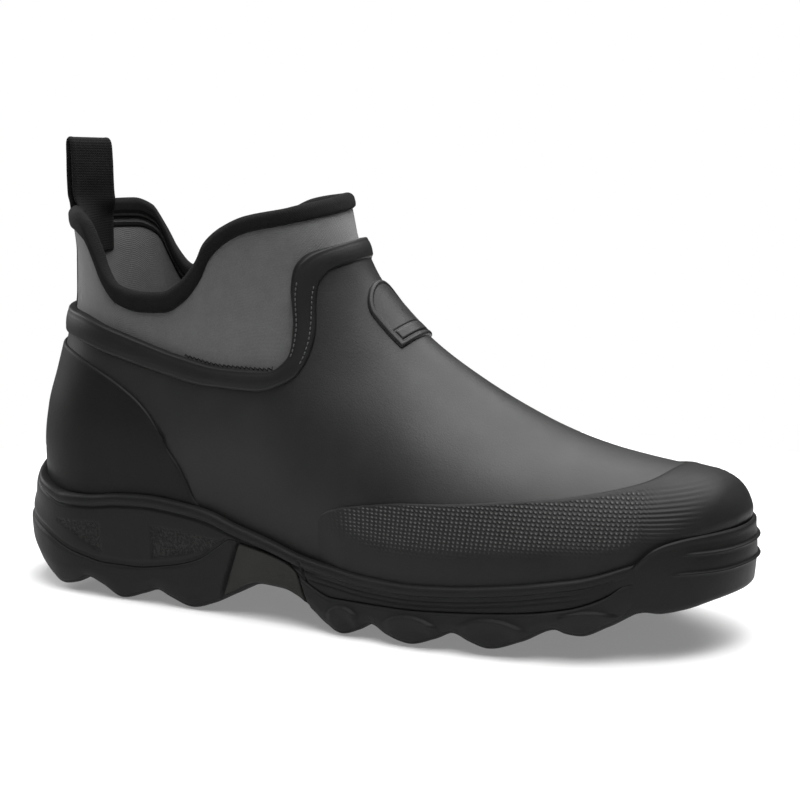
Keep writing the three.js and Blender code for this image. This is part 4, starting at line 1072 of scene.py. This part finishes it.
def make_loop():
    line = centripetal(loop_route(), 40)
    run = lengths(line[:, :2], 0)
    even = np.arange(0, run[-1], 0.25)
    x, z, cup = (np.interp(even, run, line[:, i]) for i in range(3))
    dx, dz = np.gradient(x), np.gradient(z)
    size = np.hypot(dx, dz)
    nx, nz = -dz / size, dx / size
    edge = COLLAR_HEIGHT * TOPLINE["up"][0]
    axis = float(back_at(edge)) + LOOP_AXIS
    places = np.sin(np.linspace(-math.pi / 2, math.pi / 2, 47))
    rib = WEB_RIB_DEPTH * np.cos(2 * math.pi * even / WEB_RIB)
    sections, flows = [], []
    for face in (1, -1):
        for place in places[::face]:
            across_it = place * LOOP_WIDTH / 2
            sag = cup * across_it * across_it / HEEL_WIDTH
            selvedge = float(rounded((1 - abs(place)) * LOOP_WIDTH / 2, 0.8))
            cord = 0.14 * math.exp(-((1 - abs(place)) * LOOP_WIDTH / 2 - 1.5) ** 2 / 0.5)
            half = WEB_WALL / 2 * selvedge + (rib + cord) * selvedge - 0.05
            px, pz = x + nx * half * face + sag, z + nz * half * face
            lift = smooth((pz - edge + 7) / 10)
            yaw = LOOP_YAW * lift
            qx = axis + (px - axis) * np.cos(yaw) + across_it * np.sin(yaw)
            qy = across_it * np.cos(yaw) - (px - axis) * np.sin(yaw)
            sections.append(np.stack([qx, qy, pz - LOOP_ROLL * lift * place / 2], -1))
            flows.append(np.stack([0 * x + across_it + 40, even, 0 * x + 1], -1))
    points = np.stack(sections)
    add_grid("loop", points, WEBBING, ["pull_loop"], np.stack(flows), wrap_rows=True,
             caps=True)


# Sole
SOLE_BACK = 0.0
SOLE_FRONT = SOLE_LENGTH - BUMPER_PROUD


def tread_at(x):
    return tread_up(x / SOLE_LENGTH)


def end_pull(share):
    return smooth(np.abs(2 * share - 1) ** 6)


def sole_half(x, side, out, back, front):
    return ((plain_half(x, side) + SOLE_MARGIN + out)
            * round_off(x - back, HEEL_ROUND + SOLE_MARGIN)
            * round_off(front - x, TOE_ROUND + SOLE_MARGIN))


def sole_shares(count):
    fine = (1 - np.cos(np.linspace(0, math.pi, 20000))) / 2
    x = SOLE_BACK + (SOLE_FRONT - SOLE_BACK) * fine
    y = sole_half(x, OUTER, 0.0, SOLE_BACK, SOLE_FRONT)
    run = lengths(np.stack([x, y], -1), 0)
    return np.interp(np.linspace(0, run[-1], count), run, fine)


def sole_point(shares, side, out, z_of, tuck=0.0):
    """Points along one side of the sole at one row. out may be a function of x."""
    back = SOLE_BACK + HEEL_TUCK * tuck
    front = SOLE_FRONT - TOE_TUCK * tuck
    plain = back + (front - back) * shares
    stands = out(plain) if callable(out) else out + 0 * plain
    x = plain + stands * (2 * shares - 1) * end_pull(shares)
    half = np.maximum(sole_half(plain, side, stands, back, front), 0)
    return np.stack([x, centre_at(x) + side * half, z_of(x)], -1)


def across(low_side, high_side, columns):
    """Points across the sole between two sides at the same shares, without the sides."""
    return [low_side * (1 - t) + high_side * t for t in np.linspace(0, 1, columns + 2)[1:-1]]


# Crescents over the forefoot lugs: middle along, reach, and height above the lug's foot
LUGS = {
    "along": [0.528, 0.628, 0.738, 0.855],
    "long": [0.026, 0.042, 0.048, 0.040],
    "tall": [11.6, 11.8, 11.8, 9.6],
    "foot": [0.4, 0.7, 3.0, 10.4],
}
LUG_SWELL = 1.6
EDGE_ROUND = 1.5
EDGE_REACH = 5.0
# The middle groove's depth as a share of the lugs', and the sipes' places, width and depth
GROOVE_SHARE = 0.62
SIPE_IN, SIPE_OUT = 17, 9.5
SIPE_WIDE, SIPE_DEPTH = 0.7, 0.9


def lug_swell(x, z):
    """How far the side stands out under a crescent line over each forefoot lug."""
    total = np.zeros_like(x)
    for along, long, tall, foot in zip(*LUGS.values()):
        d = (x / SOLE_LENGTH - along) / long
        line = foot + tall * (1 - 0.34 * d * d)
        inside = smooth((line - z) / 0.4)
        fall = 1 - 0.75 * smooth((line - z) / 6)
        total = np.maximum(total, inside * fall * smooth((1 - np.abs(d)) * 2.5))
    return LUG_SWELL * total


def bumper_share_of(x):
    """How much of the bumper's proudness the side has at x."""
    return smooth((x / SOLE_LENGTH - 0.874) / 0.048)


def tread_z(x, y, edge):
    """Underside: lugs rounded off at both sides, parted by a middle groove and fine sipes."""
    z = tread_at(x)
    middle = np.abs(y - centre_at(x))
    lug = 1 - smooth((x / SOLE_LENGTH - 0.90) / 0.03)
    groove = smooth((TREAD_GROOVE / 2 + 0.8 - middle) / 1.6)
    z = z + LUG_DEPTH * GROOVE_SHARE * groove * lug
    z = z + EDGE_ROUND * (1 - rounded(edge, EDGE_REACH))
    sipe = np.exp(-((middle - SIPE_IN) / SIPE_WIDE) ** 2)
    sipe = sipe + np.exp(-((edge - SIPE_OUT) / SIPE_WIDE) ** 2)
    return z + SIPE_DEPTH * np.clip(sipe, 0, 1) * lug


HEEL_FULL = 1.7
HEEL_REACH = 42


def heel_full(x):
    """How much fuller the sole stands at the back of the heel."""
    return HEEL_FULL * smooth(1 - x / HEEL_REACH)


def make_outsole():
    shares = sole_shares(560)
    downs = np.concatenate([np.linspace(0, 0.12, 5), np.linspace(0.15, 0.82, 20),
                            np.linspace(0.85, 1, 7)])
    columns = 52
    sides = {}
    for side in (OUTER, INNER):
        rows = []
        for down in downs:
            def z_of(x, down=down):
                edge = tread_at(x) + EDGE_ROUND
                return joint_at(x) + (edge - joint_at(x)) * down

            def out(x, down=down, z_of=z_of):
                z = z_of(x)
                pocket = smooth((inlay_depth(x, z) + 0.5) / 0.5)
                begin = bumper_share_of(x)
                foot = rounded((1 - down) * (joint_at(x) - tread_at(x)), 2.5)
                plain = SIDE_STEP * float(side_out(down)) + lug_swell(x, z) * (1 - begin)
                plain = plain + heel_full(x)
                flush = BUMPER_PROUD - BUMPER_INSIDE - 1.2 * (1 - foot)
                return (plain + (flush - plain) * begin) * (1 - pocket) - POCKET_DEPTH * pocket

            rows.append(sole_point(shares, side, out, z_of, float(side_tuck(down))))
        sides[side] = rows
    low_side, high_side = sides[OUTER][-1], sides[INNER][-1]
    bottom = []
    wide = np.linalg.norm(low_side - high_side, axis=1)
    for t in (1 - np.cos(np.linspace(0, math.pi, columns + 2)[1:-1])) / 2:
        p = low_side * (1 - t) + high_side * t
        edge = wide * min(t, 1 - t)
        bottom.append(np.stack([p[:, 0], p[:, 1], tread_z(p[:, 0], p[:, 1], edge)], -1))
    top = across(sides[INNER][0], sides[OUTER][0], 3)
    loop = [*sides[OUTER], *bottom, *sides[INNER][::-1], *top]
    add_grid("tread", np.stack(loop), TREAD_RUBBER, ["outsole"], wrap_rows=True)


# Relief of the midsole's side at the heel: two grained fields, as corners (along, up in mm)
FIELDS = (
    ((0.079, 28.6), (0.151, 29.6), (0.155, 17.4)),
    ((0.231, 31.2), (0.300, 30.4), (0.338, 29.0), (0.322, 25.0), (0.297, 22.6), (0.233, 18.4)),
)
FIELD_SUNK = 0.35


def field_depth(x, z):
    """How far inside the nearest grained field a point of the side lies."""
    best = np.full_like(x, -9.0)
    for corners in FIELDS:
        points = [(along * SOLE_LENGTH, up) for along, up in corners]
        inside = np.full_like(x, 9.0)
        for (x0, z0), (x1, z1) in zip(points, points[1:] + points[:1]):
            length = math.hypot(x1 - x0, z1 - z0)
            inside = np.minimum(inside, ((x - x0) * (z0 - z1) + (z - z0) * (x1 - x0)) / -length)
        best = np.maximum(best, inside)
    return best


# Fine grooves along the forefoot's side: distance below the rim's lip, depth
LINES = ((5.3, 0.22), (7.2, 0.40))
WAIST_LINE = ((0.456, 29.6), (0.463, 24.0), (0.472, 18.0), (0.486, 8.0))


def midsole_out(x, z):
    """How far the midsole's side stands out from the sole's outline at a height."""
    along = x / SOLE_LENGTH
    below = rim_at(x) - z
    above = z - joint_at(x)
    front = smooth((along - 0.45) / 0.06)
    toe = smooth((along - 0.870) / 0.030)
    lip = 1.9 * (1 - rounded(below, 1.9)) * 0.62
    swell = 0.22 * np.sin(np.clip(below / RIM_BAND, 0, 1) * math.pi)
    groove = np.exp(-((below - RIM_BAND) / 0.55) ** 2)
    panel = smooth((below - RIM_BAND) / 0.5)
    heel = swell - 0.85 * groove * smooth(x / 14) - 0.30 * panel
    outline = np.exp(-((above - 1.5) / 0.6) ** 2)
    heel = heel - 0.45 * outline * smooth((0.352 - along) / 0.01)
    inside = field_depth(x, z)
    heel = heel - FIELD_SUNK * smooth((inside + 0.1) / 0.35)
    recess = smooth((below - 3.1) / 0.7)
    fore = swell * 0.8 - 1.15 * recess
    fade = 1 - smooth((along - 0.80) / 0.07)
    for at, depth in LINES:
        fore = fore - depth * np.exp(-((below - at) / 0.32) ** 2) * fade
    fore = fore * (1 - toe)
    foot = 0.25 * np.exp(-(above / 0.5) ** 2)
    high = 1 - np.clip(below / 17, 0, 1)
    chamfer = 2.4 * (1 - smooth(below / 7)) * smooth(1 - x / 16)
    chamfer = chamfer - 0.9 * smooth((below - 10) / 7) * smooth(1 - x / 26)
    lean = 1.1 * high * smooth(1 - x / 30) + chamfer - heel_full(x)
    line_x = np.interp(-z, [-up for _, up in WAIST_LINE], [at * SOLE_LENGTH for at, _ in WAIST_LINE])
    waist = 0.7 * np.exp(-((x - line_x) / 0.55) ** 2) * smooth((below - 1.0) / 1.0)
    return heel * (1 - front) + fore * front - lip - foot - waist - lean


def make_midsole():
    shares = sole_shares(620)
    turns = np.arccos(1 - 2 * shares)
    ups = np.concatenate([np.linspace(0, 0.12, 5), np.linspace(0.15, 0.70, 22),
                          np.linspace(0.72, 1, 18)])
    sides, flows = {}, {}
    for side in (OUTER, INNER):
        rows, marks = [], []
        for up in ups:
            def z_of(x, up=up):
                return joint_at(x) + 0.05 + (rim_at(x) - joint_at(x)) * up

            def out(x, z_of=z_of):
                return midsole_out(x, z_of(x))

            row = sole_point(shares, side, out, z_of)
            rows.append(row)
            marks.append(smooth((field_depth(row[:, 0], row[:, 2]) + 0.1) / 0.3))
        rim_row = rows[-1]
        signed = turns if side == OUTER else 2 * math.pi - turns
        wall_top = off_surface(signed, meet(signed, rim_at), CLEARANCE * 0.3)
        wall_top[:, 2] = rim_at(wall_top[:, 0]) - 0.3
        floor_z = meet(signed, floor_at)
        wall_low = off_surface(signed, floor_z, CLEARANCE * 0.3)
        wall_low[:, 2] = floor_z
        for t in (0.35, 0.75):
            lip = rim_row * (1 - t) + wall_top * t
            lip[:, 2] = rim_row[:, 2] * (1 - t) + (wall_top[:, 2] + 0.3) * t + 0.12
            rows.append(lip)
        rows += [wall_top, wall_low]
        sides[side] = rows
        flows[side] = marks + [0 * marks[0]] * 4
    floor = across(sides[OUTER][-1], sides[INNER][-1], 5)
    under = across(sides[INNER][0], sides[OUTER][0], 3)
    loop = np.stack([*sides[OUTER], *floor, *sides[INNER][::-1], *under])
    blank = 0 * flows[OUTER][0]
    mask = np.stack([*flows[OUTER], *[blank] * 5, *flows[INNER][::-1], *[blank] * 3])
    add_grid("midsole_cup", loop, SOLE, ["midsole"], skin_flow(loop, mask),
             wrap_rows=True)


# Toe bumper: its face from the foot (0) to the top (1), with two sharp ribs and a lip
BUMPER_FACE = {
    "up": [0, 0.410, 0.440, 0.462, 0.484, 0.514, 0.695, 0.725, 0.747, 0.769, 0.799, 0.88, 0.935,
           0.970, 1.0],
    "rib": [0, 0, 0.15, 1.0, 0.15, 0, 0, 0.15, 1.0, 0.15, 0, 0, 0.12, 0.15, -0.40],
}
BUMPER_LEANS = {"up": [0, 0.45, 1.0], "lean": [0.0, 0.0, 1.0]}
RIB_START = (0.936, 0.946)
BUMPER_BACK = 0.872
BUMPER_EDGE = 2.0
BUMPER_INSIDE = 2.2
POCKET_DEPTH = 2.2
RIB_SHARP = 1.4
bumper_rib = curve(BUMPER_FACE, "up", "rib")
bumper_lean = curve(BUMPER_LEANS, "up", "lean")


def make_bumper():
    shares = sole_shares(1000)
    shares = shares[shares > BUMPER_BACK * SOLE_LENGTH / SOLE_FRONT]

    def top_at(x):
        return RIM_HEIGHT * bumper_share(x / SOLE_LENGTH)

    def foot_at(x):
        return tread_at(x) + 0.35

    def lean_at(x, up):
        return BUMPER_LEAN * 0.33 * float(bumper_lean(up)) * smooth((x / SOLE_LENGTH - 0.88) * 10)

    def rows_on(side):
        rows = []
        ups = np.concatenate([np.linspace(0, 0.13, 8), np.linspace(0.16, 0.39, 4),
                              np.linspace(0.412, 0.512, 11), np.linspace(0.53, 0.68, 4),
                              np.linspace(0.697, 0.797, 11), np.linspace(0.82, 1, 14)])
        for up in ups:
            def z_of(x, up=up):
                tilt = 2.2 - 2.9 * smooth((x / SOLE_LENGTH - 0.935) / 0.06)
                tilt = tilt * smooth((x / SOLE_LENGTH - 0.89) / 0.04)
                return foot_at(x) + (top_at(x) - foot_at(x)) * up + tilt * math.sin(math.pi * up)

            def out(x, up=up, z_of=z_of):
                rib = float(bumper_rib(up))
                if 0.40 < up < 0.81:
                    rib = rib * smooth((x / SOLE_LENGTH - RIB_START[up > 0.6]) / 0.018)
                edge = BUMPER_EDGE * (1 - rounded(z_of(x) - foot_at(x), BUMPER_EDGE))
                begin = bumper_share_of(x)
                proud = (BUMPER_PROUD + BUMPER_INSIDE) * begin - BUMPER_INSIDE
                return proud + RIB_PROUD * RIB_SHARP * rib - lean_at(x, up) - edge

            rows.append(sole_point(shares, side, out, z_of, 0.5 * (1 - up) ** 2))
        for out_lip, drop in ((-0.7, -0.25), (-1.5, 0.1), (-3.6, 0.9)):
            def z_lip(x, drop=drop):
                return top_at(x) - drop

            def out(x, out_lip=out_lip):
                return BUMPER_PROUD * bumper_share_of(x) + out_lip - lean_at(x, 1.0)

            rows.append(sole_point(shares, side, out, z_lip))
        rows.append(sole_point(shares, side, -4.5, foot_at))
        return np.stack(rows)

    outer, inner = rows_on(OUTER), rows_on(INNER)
    points = np.concatenate([outer, inner[:, ::-1][:, 1:]], axis=1)
    add_grid("bumper", points, SOLE, ["toe_bumper"], wrap_rows=True, caps=True)


# Waist inlays: plates of a rough grain, set in the sole's sides behind a groove
INLAY_BACK, INLAY_FRONT = 0.352, 0.470
INLAY_REAR = ((0.339, 8.0), (0.365, 31.0))
INLAY_FORE = ((0.452, 26.0), (0.470, 12.0))
INLAY_SUNK = 0.75
INLAY_FOOT = 1.5
INLAY_INSIDE = 3.4


def line_at(line, z):
    (x0, z0), (x1, z1) = line
    return SOLE_LENGTH * (x0 + (x1 - x0) * (z - z0) / (z1 - z0))


def inlay_top(x):
    return joint_at(x) - 0.5


def inlay_depth(x, z):
    """How far inside the inlay's outline a point of the side lies, in millimetres."""
    rear = x - line_at(INLAY_REAR, z)
    fore = line_at(INLAY_FORE, z) - x
    foot = z - tread_at(x) - INLAY_FOOT
    return np.minimum(np.minimum(inlay_top(x) - z, rear), np.minimum(fore * 0.9, foot))


def make_inlay(name, side, replaced):
    """Columns run from the slanted rear edge to the slanted front one."""
    along = np.linspace(0, 1, 90)
    rows = []
    ups = np.linspace(0, 1, 28)
    for sunk, order in ((INLAY_SUNK, ups), (INLAY_INSIDE, ups[::-1])):
        for up in order:
            edge = min(up, 1 - up)
            x = SOLE_LENGTH * (INLAY_BACK + (INLAY_FRONT - INLAY_BACK) * along)
            for _ in range(12):
                foot = tread_at(x) + INLAY_FOOT + 0.2
                z = foot + (np.maximum(inlay_top(x) + 0.2, foot) - foot) * up
                rear, fore = line_at(INLAY_REAR, z) + 1.3, line_at(INLAY_FORE, z) - 0.7
                x = rear + (fore - rear) * along
            out = SIDE_STEP * float(side_out(0.5)) - sunk
            if sunk == INLAY_SUNK:
                out = out - 0.5 * (1 - float(rounded(edge, 0.05)))
                out = out - 0.5 * (1 - rounded(np.minimum(along, 1 - along), 0.02))
            half = sole_half(x, side, out, SOLE_BACK, SOLE_FRONT)
            rows.append(np.stack([x, centre_at(x) + side * half, z], -1))
    add_grid(name, np.stack(rows), INLAY_RUBBER, [replaced], wrap_rows=True, caps=True)


# Instep badge: a plain arch with a raised frame and a raised bar at its foot
BADGE_HEIGHTS = {
    "in": [0, 0.35, 0.8, 1.5, 1.9, 2.3, 12],
    "tall": [0.1, 0.85, 1.2, 1.25, 0.85, 0.8, 0.95],
}
BADGE_CORNER = 1.2
BAR_FOOT, BAR_HEAD, BAR_HALF = -11.4, -7.2, 9.6
badge_tall = curve(BADGE_HEIGHTS, "in", "tall")


def badge_inside(u, v):
    """Distance in from the arch's outline."""
    radius = BADGE_WIDTH / 2
    sides = radius - np.abs(u)
    foot = v + BADGE_LENGTH / 2
    top = radius - np.hypot(u, v - (BADGE_LENGTH / 2 - radius))
    return np.where(v > BADGE_LENGTH / 2 - radius, top, np.minimum(sides, foot))


def arc(x, y, radius, first, last, count):
    return [(x + radius * math.cos(a), y + radius * math.sin(a)) for a in np.linspace(first, last, count)]


def badge_outline(count):
    radius = BADGE_WIDTH / 2
    corner = BADGE_CORNER
    foot = corner - BADGE_LENGTH / 2
    path = arc(corner - radius, foot, corner, math.pi, 1.5 * math.pi, 7)
    path += arc(radius - corner, foot, corner, -0.5 * math.pi, 0, 7)
    path += arc(0, BADGE_LENGTH / 2 - radius, radius, 0, math.pi, 41)
    path = np.array(path + path[:1])
    run = lengths(path, 0)
    even = np.linspace(0, run[-1], count + 1)[:-1]
    return np.stack([np.interp(even, run, path[:, i]) for i in range(2)], -1)


def on_instep(u, v, out):
    """Points of the instep whose place square to the badge is (u, v)."""
    height = BADGE_UP * COLLAR_HEIGHT
    middle = surface(np.array(math.pi), np.array(height))
    normal = normal_at(np.array(math.pi), np.array(height))
    normal = np.array([normal[0], 0, normal[2]]) / math.hypot(normal[0], normal[2])
    up = np.array([-normal[2], 0, normal[0]])
    turn, z = np.full_like(u, math.pi), height + v * up[2]

    def place(turn, z):
        p = surface(turn, z) - middle
        return p[..., 1], p @ up

    for _ in range(12):
        a, b = place(turn, z)
        at, bt = place(turn + 1e-4, z)
        az, bz = place(turn, z + 1e-3)
        jat, jbt, jaz, jbz = (at - a) / 1e-4, (bt - b) / 1e-4, (az - a) / 1e-3, (bz - b) / 1e-3
        size = jat * jbz - jaz * jbt
        da, db = u - a, v - b
        turn = turn + np.clip((da * jbz - db * jaz) / size, -0.2, 0.2)
        z = z + np.clip((jat * db - jbt * da) / size, -4, 4)
    return off_surface(turn, z, out)


def make_badge():
    outline = badge_outline(200)
    middle = np.array([0, -1.0])
    scales = np.concatenate([np.linspace(1, 0.76, 22), np.linspace(0.73, 0.02, 44)])
    rings = []
    for scale in scales:
        u, v = (middle + (outline - middle) * scale).T
        inside = badge_inside(u, v)
        tall = badge_tall(inside)
        bar = np.minimum(np.minimum(v - BAR_FOOT, BAR_HEAD - v), BAR_HALF - np.abs(u))
        lifted = rounded(bar, 0.7)
        moat = smooth((bar + 0.9) / 0.4)
        tall = np.where(inside > 1.9, tall - 0.25 * moat * (1 - lifted) + 0.35 * lifted, tall)
        rings.append(on_instep(u, v, CLEARANCE * 0.3 + tall * BADGE_WALL / 1.25))
    u, v = outline.T
    rings.insert(0, on_instep(u, v, -0.5))
    # Its two open ends lie under the shell and in the very middle of the field
    add_grid("badge", np.stack(rings), SHELL, ["instep_badge"], wrap_columns=True)


def make_insole():
    turns = closed_ring(160, 45.0)
    low = meet(turns, floor_at) + CLEARANCE
    rows = []
    for t in (0.0, 0.4, 0.8, 0.95, 1.0):
        inset = CLEARANCE + (0.8 if t == 1.0 else 0.2 if t == 0.95 else 0)
        rows.append((low + INSOLE_THICKNESS * t, LINING_IN - inset))
    points = profile_skin(turns, rows)
    half = len(turns) // 2
    top = points[-1]
    middle = top.copy()
    middle[1:half] = (top[1:half] + top[:half:-1]) / 2
    middle[:half:-1] = middle[1:half]
    rings = [points[0] * 0.5 + middle * 0.5, *points]
    rings[0][:, 2] = points[0][:, 2]
    for t in (0.15, 0.35, 0.6, 0.8, 1.0):
        ring = top + (middle - top) * t
        ring[:, 2] = top[:, 2] - 0.9 * math.sin(t * math.pi / 2)
        rings.append(ring)
    base = points[0] + (middle - points[0])
    base[:, 2] = points[0][:, 2]
    rings.insert(0, base)
    add_grid("footbed", np.stack(rings), FELT, ["insole"], wrap_columns=True)


make_upper()
make_shell()
make_band()
make_guard()
make_counter()
make_binding()
make_inner_tape()
make_loop()
make_outsole()
make_midsole()
make_bumper()
make_inlay("inlay_outer", OUTER, "waist_inlay_outer")
make_inlay("inlay_inner", INNER, "waist_inlay_inner")
make_badge()
make_insole()

# Camera at the photograph's place, in the boot's coordinates
CAMERA_AT = (727.19, -1108.76, 335.0)
CAMERA_TO = (150.0, 0.0, 80.0)
LENS, SENSOR = 151.55, 36
SHIFT = (0.01625, 0.0025)
camera_data = bpy.data.cameras.new("camera")
camera_data.lens = LENS
camera_data.sensor_width = SENSOR
camera_data.shift_x, camera_data.shift_y = SHIFT
camera_data.clip_end = 50
camera = bpy.data.objects.new("camera", camera_data)
bpy.context.collection.objects.link(camera)
camera.location = to_frame(CAMERA_AT)
aim = Vector(to_frame(CAMERA_TO)) - camera.location
camera.rotation_euler = aim.to_track_quat("-Z", "Y").to_euler()
bpy.context.scene.camera = camera


# Studio: each light's name, place, aim, size and power
LIGHTS = (
    ("key", (0.15, 0.40, 1.15), (0.05, 0.0, 0.06), 1.4, 27),
    ("front", (0.22, -0.50, 1.25), (0.06, 0.0, 0.06), 0.9, 15),
    ("back_left", (-1.0, 0.1, 0.45), (-0.08, 0.0, 0.10), 0.5, 6.5),
)
AMBIENT = 0.07
FLOOR_RADIUS, FLOOR_SIDES = 0.33, 96
FLOOR_SHADE, FLOOR_GLOW = 0.70, 0.22


def add_light(name, place, aim_at, size, power):
    data = bpy.data.lights.new(name, "AREA")
    data.energy = power
    data.size = size
    light = bpy.data.objects.new(name, data)
    bpy.context.collection.objects.link(light)
    light.location = place
    light.rotation_euler = (Vector(aim_at) - Vector(place)).to_track_quat("-Z", "Y").to_euler()


def make_stage():
    mesh = bpy.data.meshes.new("floor")
    angles = [2 * math.pi * k / FLOOR_SIDES for k in range(FLOOR_SIDES)]
    rim = [(FLOOR_RADIUS * math.cos(a), FLOOR_RADIUS * math.sin(a), 0) for a in angles]
    mesh.from_pydata(rim, [], [tuple(range(FLOOR_SIDES))])
    floor = bpy.data.objects.new("floor", mesh)
    bpy.context.collection.objects.link(floor)
    material, _, _, shader = new_material("floor", [FLOOR_SHADE] * 3, 0.9, specular=0.1)
    shader.inputs["Emission Color"].default_value = (1, 1, 1, 1)
    shader.inputs["Emission Strength"].default_value = FLOOR_GLOW
    mesh.materials.append(material)


def make_world():
    """White behind the boot, and a dim even light from all round."""
    world = bpy.data.worlds.new("studio")
    bpy.context.scene.world = world
    world.use_nodes = True
    nodes, links = world.node_tree.nodes, world.node_tree.links
    sky = nodes["Background"]
    sky.inputs["Color"].default_value = (1, 1, 1, 1)
    sky.inputs["Strength"].default_value = AMBIENT
    seen = nodes.new("ShaderNodeBackground")
    seen.inputs["Color"].default_value = (1, 1, 1, 1)
    ray = nodes.new("ShaderNodeLightPath")
    either = nodes.new("ShaderNodeMixShader")
    links.new(ray.outputs["Is Camera Ray"], either.inputs[0])
    links.new(sky.outputs[0], either.inputs[1])
    links.new(seen.outputs[0], either.inputs[2])
    links.new(either.outputs[0], nodes["World Output"].inputs[0])


make_stage()
for light in LIGHTS:
    add_light(*light)
make_world()
bpy.context.scene.view_settings.view_transform = "Standard"
